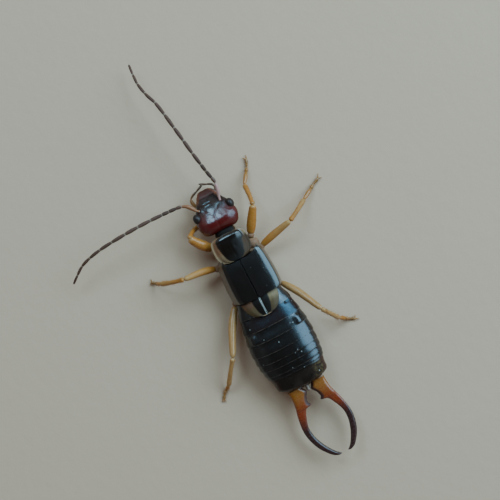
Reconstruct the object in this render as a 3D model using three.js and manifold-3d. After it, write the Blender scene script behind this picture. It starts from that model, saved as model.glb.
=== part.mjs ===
import * as THREE from "three";
import { mergeVertices } from "three/addons/utils/BufferGeometryUtils.js";
import Module from "manifold-3d";

// A male winged earwig at life size, standing with its feelers spread and its pincers nearly closed.
// Millimetres, +Z up, the floor at z 0, and the head towards +Y.
// Points are written as [x, behind, z]: x to the insect's right, behind the front of the upper lip,
// and z above the floor. Widths are half widths from the body's midline.

const { lerp, clamp } = THREE.MathUtils;
const wasm = await Module();
wasm.setup();

// Clearances
const GAP = 0.08;
const EYE_GAP = 0.04;
const RING_GAP = 0.05;

// Head
const HEAD_PLACES = [0.42, 0.56, 0.77, 1.0, 1.25, 1.5, 1.76, 2.0, 2.2, 2.36, 2.47, 2.53];
const HEAD_SHIFT = -0.04;
const HEAD_HALF_WIDTH = profile(
  [0.42, 0.6], [0.77, 0.8], [1.0, 0.94], [1.32, 1.06], [1.54, 1.16], [1.76, 1.2],
  [1.98, 1.175], [2.2, 1.09], [2.37, 0.97], [2.47, 0.8], [2.53, 0.55],
);
const HEAD_TOP = profile(
  [0.42, 1.2], [0.7, 1.36], [0.95, 1.5], [1.15, 1.595], [1.4, 1.685], [1.65, 1.775], [1.83, 1.835],
  [2.0, 1.85], [2.3, 1.77], [2.53, 1.52],
);
const HEAD_UNDERSIDE = profile([0.42, 1.0], [0.77, 0.86], [1.3, 0.74], [1.9, 0.72], [2.3, 0.8], [2.53, 0.98]);
const LIP_PLACES = [0, 0.05, 0.14, 0.25, 0.36];
const LIP_HALF_WIDTH = profile([0, 0.14], [0.05, 0.28], [0.14, 0.42], [0.25, 0.51], [0.36, 0.57]);
const LIP_TOP = profile([0, 1.09], [0.14, 1.13], [0.36, 1.2]);
const LIP_UNDERSIDE = 0.98;
const EYE_CENTRE = [1.0, 1.32, 1.34];
const EYE_RADII = [0.225, 0.29, 0.28];
const EYE_FACETS = [16, 10];
const JAW_PATH = [[0.5, 0.78, 0.79], [0.49, 0.42, 0.79], [0.32, 0.14, 0.83], [0.1, 0.03, 0.85]];
const JAW_HALF_WIDTH = profile([0, 0.13], [0.5, 0.12], [1, 0.05]);
const CHIN_PLACES = [0.5, 0.7, 1.1, 1.35];
const CHIN_HALF_WIDTH = profile([0.5, 0.2], [0.7, 0.32], [1.1, 0.36], [1.35, 0.28]);
const CHIN_HEIGHTS = [0.46, 0.62];
const LOWER_PALP_PATH = [[0.16, 0.7, 0.54], [0.26, 0.4, 0.5], [0.3, 0.12, 0.48]];
const LOWER_PALP_HALF_WIDTH = profile([0, 0.08], [0.5, 0.09], [1, 0.05]);
const PALP_PATHS = {
  left: [
    [-0.62, 1.05, 0.58], [-0.85, 0.49, 0.62], [-0.82, 0.11, 0.68], [-0.22, -0.17, 0.78], [0.08, -0.3, 0.78],
  ],
  right: [
    [0.62, 1.05, 0.56], [0.66, 0.39, 0.5], [0.58, -0.06, 0.49], [0.19, -0.28, 0.42], [-0.11, -0.44, 0.4],
  ],
};
const PALP_HALF_WIDTH = profile([0, 0.12], [0.45, 0.13], [0.6, 0.09], [0.95, 0.09], [1, 0.06]);

// Feelers: the first two articles, then the whip of eleven
const FEELER_BASES = {
  left: [
    [-0.72, 1.0, 1.38], [-0.9, 0.84, 1.42], [-1.07, 0.6, 1.5], [-1.29, 0.39, 1.52], [-1.57, 0.28, 1.47],
    [-1.79, 0.25, 1.42],
  ],
  right: [[0.55, 0.98, 1.38], [0.6, 0.71, 1.45], [0.7, 0.44, 1.55], [0.76, -0.06, 1.7], [0.71, -0.33, 1.75]],
};
const FEELER_BASE_HALF_WIDTH = profile(
  [0, 0.17], [0.35, 0.21], [0.66, 0.19], [0.74, 0.13], [0.84, 0.18], [1, 0.17],
);
const WHIPS = {
  left: [
    [-1.79, 0.25, 1.42], [-2.39, 0.22, 1.5], [-3.66, 0.2, 1.72], [-5.14, 0.25, 1.8], [-6.63, 0.37, 1.6],
    [-7.73, 0.63, 1.28], [-8.39, 1.04, 1.0], [-8.77, 1.32, 0.8],
  ],
  right: [
    [0.71, -0.33, 1.75], [0.6, -0.82, 1.82], [0.39, -2.04, 1.92], [0.17, -3.58, 1.9], [-0.11, -5.28, 1.66],
    [-0.36, -6.0, 1.5], [-0.52, -6.74, 1.28], [-0.52, -7.4, 1.05], [-0.47, -8.06, 0.8],
  ],
};
const WHIP_ARTICLES = [0.06, 0.055, 0.095, 0.105, 0.107, 0.115, 0.107, 0.1, 0.09, 0.08, 0.086];
const WHIP_HALF_WIDTH = profile([0, 0.21], [0.3, 0.2], [0.7, 0.17], [1, 0.11]);
const WHIP_JOINT_SHARE = 0.78;
const WHIP_SWELL = [0.25, 0.8];

// Neck and thorax
const NECK_SPAN = [2.58, 2.94];
const NECK_HALF_WIDTH = 0.56;
const NECK_HEIGHTS = [0.86, 1.36];
const SHIELD_FRONT = 2.74;
const SHIELD_REAR = 4.28;
const SHIELD_SHIFT = -0.06;
const SHIELD_HALF_WIDTH = profile(
  [2.74, 0.5], [2.765, 0.7], [2.81, 0.85], [2.9, 0.96], [3.1, 1.03], [3.4, 1.06], [3.7, 1.05], [3.95, 0.98],
  [4.1, 0.87], [4.2, 0.69], [4.28, 0.42],
);
const SHIELD_WIDEST = 1.07;
const SHIELD_CROWN = profile([2.74, 1.72], [2.84, 1.79], [3.0, 1.83], [3.4, 1.855], [4.28, 1.86]);
const SHIELD_DROP = 0.34;
const SHIELD_DROP_POWER = 2.9;
const SHIELD_THICKNESS = 0.26;
const SHIELD_EDGE_THICKNESS = 0.15;
const SHIELD_FACETS = [14, 16];
const SHIELD_CLEARANCE = 1.06;
const FORE_CHEST_SPAN = [3.0, 4.07];
const FORE_CHEST_HALF_WIDTH = 0.76;
const FORE_CHEST_HEIGHTS = [0.46, 1.34];
const HIND_CHEST_SPAN = [4.18, 6.7];
const HIND_CHEST_HALF_WIDTH = profile([4.18, 0.85], [4.6, 1.1], [5.6, 1.16], [6.7, 1.12]);
const HIND_CHEST_HEIGHTS = [0.42, 1.58];

// Wing covers and the tips of the folded wings
const COVER_SUTURE = 0.03;
const COVER_FRONT = 4.36;
const COVER_SHOULDER = 3.93;
const COVER_FRONT_POWER = 2.5;
const COVER_REAR = 6.65;
const COVER_REAR_SLANT = 0.22;
const COVER_HALF_WIDTH = profile(
  [3.93, 1.16], [4.05, 1.29], [4.2, 1.38], [4.8, 1.48], [5.7, 1.53], [6.3, 1.51], [6.5, 1.45], [6.65, 1.38],
);
const COVER_SPREAD = { left: 0.07, right: 0.02 };
const COVER_CROWN = profile([3.93, 1.82], [4.36, 1.91], [4.9, 1.985], [6.0, 2.035], [6.65, 2.04]);
const COVER_EDGE = 1.2;
const COVER_THICKNESS = 0.28;
const COVER_ROUNDNESS = 3.1;
const COVER_FACETS = [12, 10];
const WING_TIP_FRONT_SLANT = 0.08;
const WING_TIP_REAR = 7.67;
const WING_TIP_HALF_WIDTH = profile(
  [6.4, 1.14], [6.82, 1.08], [7.02, 1.02], [7.27, 0.89], [7.44, 0.74], [7.56, 0.57], [7.64, 0.38],
  [7.67, 0.24],
);
const WING_TIP_WIDEST = 1.14;
const WING_TIP_CROWN = 2.02;
const WING_TIP_DROP = 0.3;
const WING_TIP_THICKNESS = 0.12;
const WING_TIP_FACETS = [6, 8];

// Abdomen
const ABDOMEN_MARGINS = [6.78, 7.5, 8.295, 8.97, 9.67, 10.16, 10.54, 10.93, 11.13];
const LAST_RING_PLACES = [11.13, 11.4, 11.66, 11.82, 11.92, 12.03, 12.1, 12.14];
const ABDOMEN_HALF_WIDTH = profile(
  [6.78, 1.41], [7.15, 1.54], [7.54, 1.63], [8.09, 1.73], [8.63, 1.82], [9.19, 1.87], [9.73, 1.86],
  [10.29, 1.82], [10.84, 1.72], [11.28, 1.56], [11.7, 1.52], [11.82, 1.44], [11.92, 1.27], [12.03, 0.98],
  [12.14, 0.5],
);
const ABDOMEN_TOP = profile(
  [6.78, 1.74], [7.54, 1.82], [7.9, 1.94], [8.3, 2.05], [8.8, 2.12], [9.3, 2.175], [9.8, 2.21],
  [10.3, 2.18], [11.2, 2.0], [11.8, 1.82], [12.0, 1.68], [12.14, 1.42],
);
const ABDOMEN_UNDERSIDE = profile(
  [6.78, 0.42], [8.1, 0.32], [9.7, 0.28], [11.0, 0.36], [11.8, 0.5], [12.14, 0.78],
);
const ABDOMEN_ROUNDNESS = 2.4;
const ABDOMEN_SIDES = 26;
const ABDOMEN_LEAN = profile([9.8, 0], [11.4, 0.05]);
const MARGIN_LIP = 0.035;
const MARGIN_BOW = profile([6.78, 0], [7.5, 0.1], [8.3, 0.2], [11.13, 0.2], [11.66, 0.06], [11.82, 0]);
const RING_SHARES = [0, 0.5, 0.92, 1];
const THIGH_ROOM_RINGS = 3;
const TAIL_PLATE_SPAN = [12.22, 12.46];
const TAIL_PLATE_CENTRE = 0.086;
const TAIL_PLATE_HALF_WIDTH = 0.09;
const TAIL_PLATE_HEIGHTS = [0.82, 1.24];

// Pincers: pairs of points on the outer and the inner edge of one arm, from the root to the tip
const PINCER_EDGES = [
  [1.11, 12.22, 0.26, 12.24], [1.095, 12.5, 0.14, 12.46], [1.125, 12.81, 0.31, 12.73],
  [1.19, 13.09, 0.38, 13.04], [1.23, 13.24, 0.31, 13.22], [1.27, 13.36, 0.66, 13.34],
  [1.37, 13.78, 0.915, 13.8], [1.44, 14.24, 1.065, 14.27], [1.45, 14.65, 1.075, 14.66],
  [1.37, 15.1, 1.005, 15.05], [1.21, 15.55, 0.835, 15.5], [0.975, 15.93, 0.625, 15.88],
  [0.665, 16.28, 0.425, 16.16], [0.385, 16.41, 0.29, 16.29], [0.22, 16.4, 0.2, 16.35],
];
const PINCER_THICKNESS = profile(
  [0, 0.62], [0.3, 0.52], [0.45, 0.38], [0.75, 0.34], [0.93, 0.24], [1, 0.1],
);
const PINCER_ROUNDNESS = 2.8;
const PINCER_SIDES = 12;
const PINCER_HEIGHT = profile([0, 1.06], [0.35, 1.0], [0.65, 0.9], [1, 0.98]);
const PINCER_CENTRE = 0.07;
const PINCER_ROOT = 12.2;
const PINCER_LEAN = 0.055;

// Legs
const LEGS = {
  front_left: {
    root: [-0.45, 3.6, 0.56], hip: [-1.02, 3.08, 0.76], knee: [-1.92, 2.06, 1.52], shin: [-1.57, 1.78, 1.08],
    ankle: [-0.98, 1.6, 0.44], toes: [[-0.69, 1.1, 0.18], [-0.63, 0.94, 0.13], [-0.4, 0.55, 0.09]],
    claws: [[-0.46, 0.36, 0.06], [-0.22, 0.44, 0.06]], thigh: 0.29, bow: [-0.04, 0.05],
  },
  front_right: {
    root: [0.86, 4.0, 0.58], hip: [1.22, 3.38, 0.76], knee: [2.04, 2.0, 1.3], shin: [2.12, 1.4, 0.98],
    ankle: [2.15, 0.77, 0.56], toes: [[2.61, 0.11, 0.2], [2.72, -0.06, 0.13], [2.92, -0.5, 0.09]],
    claws: [[2.72, -0.64, 0.06], [3.0, -0.72, 0.06]], thigh: 0.265, bow: [0, 0],
  },
  middle_left: {
    root: [-0.6, 4.65, 0.52], hip: [-1.4, 4.18, 0.7], knee: [-3.17, 3.9, 1.8], shin: [-3.85, 3.73, 1.45],
    ankle: [-4.5, 3.52, 0.95], toes: [[-4.72, 3.4, 0.36], [-4.78, 3.35, 0.16], [-4.98, 3.18, 0.09]],
    claws: [[-4.9, 3.0, 0.06], [-5.09, 3.32, 0.06]], thigh: 0.2, bow: [0, -0.07],
  },
  middle_right: {
    root: [0.6, 4.65, 0.52], hip: [1.46, 4.2, 0.7], knee: [3.44, 3.72, 1.35], shin: [4.08, 3.38, 1.0],
    ankle: [4.7, 3.02, 0.52], toes: [[5.36, 2.64, 0.2], [5.53, 2.53, 0.13], [6.0, 2.3, 0.09]],
    claws: [[6.11, 2.06, 0.06], [6.2, 2.38, 0.06]], thigh: 0.21, bow: [0, -0.03],
  },
  hind_left: {
    root: [-0.6, 6.1, 0.5], hip: [-1.42, 6.5, 0.66], knee: [-2.82, 8.95, 1.35], shin: [-3.3, 9.6, 1.0],
    ankle: [-3.77, 10.27, 0.5], toes: [[-3.95, 10.4, 0.19], [-4.1, 10.5, 0.12], [-4.4, 10.86, 0.09]],
    claws: [[-4.34, 11.08, 0.06], [-4.58, 10.98, 0.06]], thigh: 0.225, bow: [-0.09, -0.03],
  },
  hind_right: {
    root: [0.6, 6.1, 0.5], hip: [1.45, 6.5, 0.66], knee: [2.74, 8.77, 1.88], shin: [3.06, 9.24, 1.35],
    ankle: [3.41, 9.73, 0.62], toes: [[3.74, 9.96, 0.2], [3.86, 10.05, 0.12], [4.22, 10.24, 0.09]],
    claws: [[4.3, 10.04, 0.06], [4.44, 10.34, 0.06]], thigh: 0.21, bow: [0.08, -0.03],
  },
};
const LEG_STOPS = [0, 0.08, 0.25, 0.5, 0.75, 0.92, 1];
const HIP_STOPS = [0, 0.3, 0.7, 0.92];
const HIP_HALF_WIDTH = profile([0, 0.27], [0.6, 0.29], [1, 0.22]);
const THIGH_BOW_SHARE = 0.4;
const THIGH_SHARE = profile([0, 0.72], [0.12, 0.92], [0.4, 1], [0.8, 0.88], [0.93, 0.86], [1, 0.55]);
const THIGH_FLATNESS = 0.86;
const SHIN_HALF_WIDTH = profile([0, 0.17], [0.1, 0.21], [0.8, 0.2], [1, 0.15]);
const FOOT_STOPS = [0, 0.12, 0.44, 0.5, 0.58, 0.64, 0.74, 0.93, 1];
const FOOT_HALF_WIDTH = profile(
  [0, 0.12], [0.12, 0.16], [0.44, 0.16], [0.5, 0.12], [0.58, 0.16], [0.64, 0.11], [0.74, 0.11],
  [0.93, 0.13], [1, 0.09],
);
const CLAW_HALF_WIDTH = profile([0, 0.07], [0.6, 0.05], [1, 0.025]);
const CLAW_ARCH = 0.03;

const UP = new THREE.Vector3(0, 0, 1);

const MATERIALS = {
  head: cuticle("#4a1411", 0.22),
  jaws: cuticle("#7d3a16", 0.35),
  eye: cuticle("#0e0a0c", 0.3),
  feeler: cuticle("#4b3a34", 0.55),
  black_plate: cuticle("#0d0b0c", 0.18),
  wing_tip: cuticle("#a98a5c", 0.4),
  skin: cuticle("#3a231b", 0.5),
  pincer: cuticle("#9a4313", 0.28),
  leg: cuticle("#a06a26", 0.38),
};

function cuticle(color, roughness) {
  return new THREE.MeshStandardMaterial({ color, roughness, metalness: 0 });
}

// A smooth curve through a few [place, value] pairs, held level past its ends.
function profile(...pairs) {
  const places = pairs.map((pair) => pair[0]);
  const values = pairs.map((pair) => pair[1]);
  const curve = new THREE.CubicInterpolant(places, values, 1, [0]);
  return (place) => curve.evaluate(clamp(place, places[0], places.at(-1)))[0];
}

function level(value) {
  return () => value;
}

function spot([x, behind, z]) {
  return new THREE.Vector3(x, -behind, z);
}

function mirrored(points) {
  return points.map(([x, behind, z]) => [-x, behind, z]);
}

// A share from 0 to 1 that changes slowly near both ends.
function crowded(share) {
  return (1 - Math.cos(Math.PI * share)) / 2;
}

function steps(from, to, count) {
  return Array.from({ length: count + 1 }, (_, index) => lerp(from, to, index / count));
}

// A closed mesh from shared points and triangles, with its faces pointing out.
function solid(points, triangles) {
  const [a, b, c] = [new THREE.Vector3(), new THREE.Vector3(), new THREE.Vector3()];
  let volume = 0;
  for (let index = 0; index < triangles.length; index += 3) {
    a.copy(points[triangles[index]]);
    b.copy(points[triangles[index + 1]]);
    c.copy(points[triangles[index + 2]]);
    volume += a.dot(b.cross(c));
  }
  const outward = volume < 0 ? triangles.slice().reverse() : triangles;
  const vertProperties = new Float32Array(points.flatMap((point) => point.toArray()));
  return new wasm.Manifold(new wasm.Mesh({ numProp: 3, vertProperties, triVerts: new Uint32Array(outward) }));
}

function solidOf(geometry) {
  const bare = geometry.clone();
  bare.deleteAttribute("normal");
  bare.deleteAttribute("uv");
  const merged = mergeVertices(bare);
  return new wasm.Manifold(new wasm.Mesh({
    numProp: 3,
    vertProperties: new Float32Array(merged.attributes.position.array),
    triVerts: new Uint32Array(merged.index.array),
  }));
}

function largest(body) {
  return body.decompose().reduce((best, piece) => (piece.volume() > best.volume() ? piece : best));
}

// A closed skin over rings of equally many points, with each end closed to its middle.
function loft(rings) {
  const sides = rings[0].length;
  const points = rings.flat();
  const triangles = [];
  for (let ring = 0; ring + 1 < rings.length; ring += 1) {
    for (let side = 0; side < sides; side += 1) {
      const here = ring * sides + side;
      const next = ring * sides + ((side + 1) % sides);
      triangles.push(here, next, next + sides, here, next + sides, here + sides);
    }
  }
  for (const first of [0, (rings.length - 1) * sides]) {
    const hub = points.length;
    const middle = new THREE.Vector3();
    for (let side = 0; side < sides; side += 1) middle.addScaledVector(points[first + side], 1 / sides);
    points.push(middle);
    for (let side = 0; side < sides; side += 1) {
      const here = first + side;
      const next = first + ((side + 1) % sides);
      triangles.push(hub, first === 0 ? next : here, first === 0 ? here : next);
    }
  }
  return solid(points, triangles);
}

// One section of a limb or of the trunk: an oval, squarer as its roundness goes past 2.
function section(centre, side, lift, halfWidth, halfHeight, sides, roundness = 2) {
  const power = 2 / roundness;
  return steps(0, 2 * Math.PI, sides).slice(0, -1).map((angle) => {
    const across = Math.sign(Math.cos(angle)) * Math.abs(Math.cos(angle)) ** power * halfWidth;
    const upward = Math.sign(Math.sin(angle)) * Math.abs(Math.sin(angle)) ** power * halfHeight;
    return centre.clone().addScaledVector(side, across).addScaledVector(lift, upward);
  });
}

function limb(path, halfWidth, { sides = 10, stops = steps(0, 1, 8), flatness = 1, grow = 0 } = {}) {
  const curve = new THREE.CatmullRomCurve3(path.map(spot), false, "centripetal");
  const rings = stops.map((share, index) => {
    const centre = curve.getPointAt(share);
    const along = curve.getTangentAt(share);
    if (index === 0) centre.addScaledVector(along, -grow);
    if (index === stops.length - 1) centre.addScaledVector(along, grow);
    const side = new THREE.Vector3().crossVectors(along, UP).normalize();
    const lift = new THREE.Vector3().crossVectors(side, along);
    return section(centre, side, lift, halfWidth(share) + grow, halfWidth(share) * flatness + grow, sides);
  });
  return loft(rings);
}

// A stretch of the trunk between two places, from its half width, top and underside at each place.
// Its bow is how far each section's flanks reach ahead of its middle.
function trunk(places, halfWidth, top, underside, options = {}) {
  const { middle = 0, sides = 24, roundness = 2.3, grow = 0, bow = level(0) } = options;
  const across = new THREE.Vector3(1, 0, 0);
  const rings = places.map((behind, index) => {
    const shift = index === 0 ? -grow : index === places.length - 1 ? grow : 0;
    const centre = spot([middle, behind + shift, (top(behind) + underside(behind)) / 2]);
    const halfHeight = (top(behind) - underside(behind)) / 2 + grow;
    const points = section(centre, across, UP, halfWidth(behind) + grow, halfHeight, sides, roundness);
    points.forEach((point, side) => {
      point.y += bow(behind) * Math.cos((2 * Math.PI * side) / sides) ** 2;
    });
    return points;
  });
  return loft(rings);
}

// A stretch of the trunk whose top and underside are level.
function block(places, halfWidth, [low, high], options) {
  return trunk(places, halfWidth, level(high), level(low), options);
}

// A curved plate between its upper face at depth 0 and its lower face at depth 1, split alike on both.
function plate(surface, [columns, rows]) {
  const points = [];
  for (const depth of [0, 1]) {
    for (let row = 0; row <= rows; row += 1) {
      for (let column = 0; column <= columns; column += 1) {
        points.push(surface(column / columns, row / rows, depth));
      }
    }
  }
  const layer = (columns + 1) * (rows + 1);
  const triangles = [];
  for (let row = 0; row < rows; row += 1) {
    for (let column = 0; column < columns; column += 1) {
      const a = row * (columns + 1) + column;
      const b = a + 1;
      const c = a + columns + 1;
      const d = c + 1;
      triangles.push(a, b, d, a, d, c);
      triangles.push(layer + a, layer + d, layer + b, layer + a, layer + c, layer + d);
    }
  }
  const rim = [];
  for (let column = 0; column < columns; column += 1) rim.push(column);
  for (let row = 0; row < rows; row += 1) rim.push(row * (columns + 1) + columns);
  for (let column = columns; column > 0; column -= 1) rim.push(rows * (columns + 1) + column);
  for (let row = rows; row > 0; row -= 1) rim.push(row * (columns + 1));
  rim.forEach((here, index) => {
    const next = rim[(index + 1) % rim.length];
    triangles.push(next, here, here + layer, next, here + layer, next + layer);
  });
  return solid(points, triangles);
}

const earwig = new THREE.Group();

function add(name, body, material) {
  const { vertProperties, triVerts } = largest(body).getMesh();
  const geometry = new THREE.BufferGeometry();
  geometry.setAttribute("position", new THREE.BufferAttribute(new Float32Array(vertProperties), 3));
  geometry.setIndex(new THREE.BufferAttribute(new Uint32Array(triVerts), 1));
  geometry.computeVertexNormals();
  const mesh = new THREE.Mesh(geometry, material);
  mesh.name = name;
  earwig.add(mesh);
}

const SIDES = [["left", -1], ["right", 1]];

// The floor flattens the sole of each foot
const FLOOR_SIZE = 60;
const floorBlock = new THREE.BoxGeometry(FLOOR_SIZE, FLOOR_SIZE, FLOOR_SIZE);
const floor = solidOf(floorBlock.translate(0, 0, -FLOOR_SIZE / 2));

// Head capsule, with a socket for each eye
function headCapsule(grow) {
  const options = { middle: HEAD_SHIFT, sides: 28, grow };
  return trunk(HEAD_PLACES, HEAD_HALF_WIDTH, HEAD_TOP, HEAD_UNDERSIDE, options);
}

function eye(direction, grow) {
  const [x, behind, z] = EYE_CENTRE;
  const [across, along, upward] = EYE_RADII.map((radius) => radius + grow);
  const ball = new THREE.SphereGeometry(1, ...EYE_FACETS).scale(across, along, upward);
  return solidOf(ball.translate(HEAD_SHIFT + direction * x, -behind, z));
}

const grownHead = headCapsule(GAP);
let capsule = headCapsule(0);
for (const [sideName, direction] of SIDES) {
  capsule = capsule.subtract(eye(direction, EYE_GAP));
  add(`eye_${sideName}`, eye(direction, 0), MATERIALS.eye);
}
add("head_capsule", capsule, MATERIALS.head);

// Mouth parts
add(
  "upper_lip",
  trunk(LIP_PLACES, LIP_HALF_WIDTH, LIP_TOP, level(LIP_UNDERSIDE), { middle: HEAD_SHIFT, sides: 18 }),
  MATERIALS.head,
);
for (const [sideName, direction] of SIDES) {
  const path = direction < 0 ? mirrored(JAW_PATH) : JAW_PATH;
  const jaw = limb(path, JAW_HALF_WIDTH, { stops: steps(0, 1, 5), sides: 8 });
  add(`jaw_${sideName}`, jaw.subtract(grownHead), MATERIALS.jaws);
}
let chin = block(CHIN_PLACES, CHIN_HALF_WIDTH, CHIN_HEIGHTS, { middle: HEAD_SHIFT, sides: 12 });
for (const path of [LOWER_PALP_PATH, mirrored(LOWER_PALP_PATH)]) {
  chin = chin.add(limb(path, LOWER_PALP_HALF_WIDTH, { stops: steps(0, 1, 4), sides: 8 }));
}
add("lower_lip", chin.subtract(grownHead), MATERIALS.jaws);
for (const [sideName] of SIDES) {
  const palp = limb(PALP_PATHS[sideName], PALP_HALF_WIDTH, { stops: steps(0, 1, 12), sides: 8 });
  add(`palp_${sideName}`, palp.subtract(grownHead), MATERIALS.jaws);
}

// Feelers: each article of the whip swells between narrow joints
function feelerBase(sideName, grow) {
  return limb(FEELER_BASES[sideName], FEELER_BASE_HALF_WIDTH, { stops: steps(0, 1, 12), grow });
}

function whip(sideName) {
  const stops = [0];
  const joints = new Set([0]);
  let start = 0;
  for (const length of WHIP_ARTICLES) {
    stops.push(...WHIP_SWELL.map((share) => start + length * share), start + length);
    start += length;
    joints.add(start);
  }
  stops[stops.length - 1] = 1;
  const waist = (share) => (joints.has(share) || share === 1 ? WHIP_JOINT_SHARE : 1);
  const halfWidth = (share) => WHIP_HALF_WIDTH(share) * waist(share);
  return limb(WHIPS[sideName], halfWidth, { stops, sides: 8 });
}

for (const [sideName] of SIDES) {
  add(`feeler_${sideName}_base`, feelerBase(sideName, 0).subtract(grownHead), MATERIALS.jaws);
  add(`feeler_${sideName}_whip`, whip(sideName).subtract(feelerBase(sideName, GAP)), MATERIALS.feeler);
}

// Neck and thorax
const neck = block(steps(...NECK_SPAN, 2), level(NECK_HALF_WIDTH), NECK_HEIGHTS, { sides: 16 });
add("neck", neck, MATERIALS.skin);

function neckShield() {
  const surface = (column, row, depth) => {
    const behind = lerp(SHIELD_FRONT, SHIELD_REAR, crowded(row));
    const share = column * 2 - 1;
    const x = share * SHIELD_HALF_WIDTH(behind);
    const fall = SHIELD_DROP * Math.abs(x / SHIELD_WIDEST) ** SHIELD_DROP_POWER;
    const thickness = lerp(SHIELD_THICKNESS, SHIELD_EDGE_THICKNESS, share * share);
    return spot([x + SHIELD_SHIFT, behind, SHIELD_CROWN(behind) - fall - depth * thickness]);
  };
  return plate(surface, SHIELD_FACETS);
}

const shield = neckShield();
add("pronotum", shield, MATERIALS.black_plate);

function foreChest(grow) {
  const places = steps(...FORE_CHEST_SPAN, 3);
  return block(places, level(FORE_CHEST_HALF_WIDTH), FORE_CHEST_HEIGHTS, { sides: 20, grow });
}

function hindChest(grow) {
  const places = steps(...HIND_CHEST_SPAN, 4);
  return block(places, HIND_CHEST_HALF_WIDTH, HIND_CHEST_HEIGHTS, { sides: 22, grow });
}

add("fore_chest", foreChest(0), MATERIALS.skin);
add("hind_chest", hindChest(0), MATERIALS.skin);

// Wing covers: half an oval in section, with the front edge hollowed round the neck shield
function wingCover(sideName, direction) {
  const surface = (column, row, depth) => {
    const angle = (column * Math.PI) / 2;
    const front = lerp(COVER_FRONT, COVER_SHOULDER, column ** COVER_FRONT_POWER);
    const behind = lerp(front, COVER_REAR - COVER_REAR_SLANT * column, row);
    const power = 2 / COVER_ROUNDNESS;
    const inward = depth * COVER_THICKNESS;
    const reach = COVER_HALF_WIDTH(behind) + COVER_SPREAD[sideName] - COVER_SUTURE - inward;
    const rise = COVER_CROWN(behind) - COVER_EDGE - inward;
    const x = COVER_SUTURE + Math.sin(angle) ** power * reach;
    const z = COVER_EDGE + Math.max(Math.cos(angle), 0) ** power * rise;
    return spot([direction * x, behind, z]);
  };
  return plate(surface, COVER_FACETS);
}

function grownShield() {
  const grown = new THREE.Matrix4().makeScale(SHIELD_CLEARANCE, SHIELD_CLEARANCE, 1);
  const middle = (SHIELD_FRONT + SHIELD_REAR) / 2;
  const meshes = [-GAP, 0, GAP].map((lift) => {
    const shift = new THREE.Matrix4().makeTranslation(SHIELD_SHIFT, -middle, lift);
    const back = new THREE.Matrix4().makeTranslation(-SHIELD_SHIFT, middle, 0);
    return shield.transform(shift.multiply(grown).multiply(back).toArray());
  });
  return meshes.reduce((whole, piece) => whole.add(piece));
}

const coverClearance = grownShield();
for (const [sideName, direction] of SIDES) {
  const cover = wingCover(sideName, direction).subtract(coverClearance);
  add(`wing_cover_${sideName}`, cover, MATERIALS.black_plate);
}

// Folded wing tips behind the covers
function wingTip(direction) {
  const surface = (column, row, depth) => {
    const front = COVER_REAR + GAP - WING_TIP_FRONT_SLANT * column;
    const behind = lerp(front, WING_TIP_REAR, Math.sin((row * Math.PI) / 2));
    const reach = WING_TIP_HALF_WIDTH(behind) - COVER_SUTURE;
    const x = COVER_SUTURE + column * reach;
    const fall = WING_TIP_DROP * (x / WING_TIP_WIDEST) ** 2;
    return spot([direction * x, behind, WING_TIP_CROWN - fall - depth * WING_TIP_THICKNESS]);
  };
  return plate(surface, WING_TIP_FACETS);
}

for (const [sideName, direction] of SIDES) {
  add(`wing_tip_${sideName}`, wingTip(direction), MATERIALS.wing_tip);
}

// Legs: hip, thigh, shin and a foot of three pieces with two claws, each cupped round the one before
function thigh(leg, grow) {
  const halfWidth = (share) => THIGH_SHARE(share) * leg.thigh;
  const bowed = leg.hip.map((value, axis) => {
    return lerp(value, leg.knee[axis], THIGH_BOW_SHARE) + (leg.bow[axis] ?? 0);
  });
  return limb([leg.hip, bowed, leg.knee], halfWidth, { stops: LEG_STOPS, flatness: THIGH_FLATNESS, grow });
}

function hip(leg, grow) {
  return limb([leg.root, leg.hip], HIP_HALF_WIDTH, { stops: HIP_STOPS, grow });
}

function shin(leg, grow) {
  return limb([leg.knee, leg.shin, leg.ankle], SHIN_HALF_WIDTH, { stops: LEG_STOPS, grow });
}

function foot(leg) {
  const tip = leg.toes.at(-1);
  let body = limb([leg.ankle, ...leg.toes], FOOT_HALF_WIDTH, { stops: FOOT_STOPS, sides: 8 });
  for (const claw of leg.claws) {
    const crest = claw.map((value, axis) => (value + tip[axis]) / 2 + (axis === 2 ? CLAW_ARCH : 0));
    body = body.add(limb([tip, crest, claw], CLAW_HALF_WIDTH, { stops: [0, 0.5, 1], sides: 6 }));
  }
  return body;
}

const chest = foreChest(GAP).add(hindChest(GAP));
let thighRoom = null;
for (const [legName, leg] of Object.entries(LEGS)) {
  let cone = hip(leg, 0).subtract(chest);
  if (legName.startsWith("front")) cone = cone.subtract(hip(LEGS[legName.replace("front", "middle")], GAP));
  add(`leg_${legName}_hip`, cone, MATERIALS.leg);
  add(`leg_${legName}_thigh`, thigh(leg, 0).subtract(hip(leg, GAP)).subtract(chest), MATERIALS.leg);
  add(`leg_${legName}_shin`, shin(leg, 0).subtract(thigh(leg, GAP)), MATERIALS.leg);
  add(`leg_${legName}_foot`, foot(leg).subtract(shin(leg, GAP)).subtract(floor), MATERIALS.leg);
  if (legName.startsWith("hind")) {
    const room = thigh(leg, GAP).add(hip(leg, GAP));
    thighRoom = thighRoom ? thighRoom.add(room) : room;
  }
}

// Abdomen: rings whose hind margins stand a little proud, hollowed where the hind thighs pass
function abdomenShape(places, halfWidth, top) {
  return trunk(places, halfWidth, top, ABDOMEN_UNDERSIDE, {
    middle: ABDOMEN_LEAN(places[0]),
    sides: ABDOMEN_SIDES,
    roundness: ABDOMEN_ROUNDNESS,
    bow: MARGIN_BOW,
  });
}

function ring(start, end) {
  const places = RING_SHARES.map((share) => lerp(start, end, share));
  const lip = (behind) => MARGIN_LIP * ((behind - start) / (end - start));
  return abdomenShape(
    places,
    (behind) => ABDOMEN_HALF_WIDTH(behind) - MARGIN_LIP + lip(behind),
    (behind) => ABDOMEN_TOP(behind) - MARGIN_LIP + lip(behind),
  );
}

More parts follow.
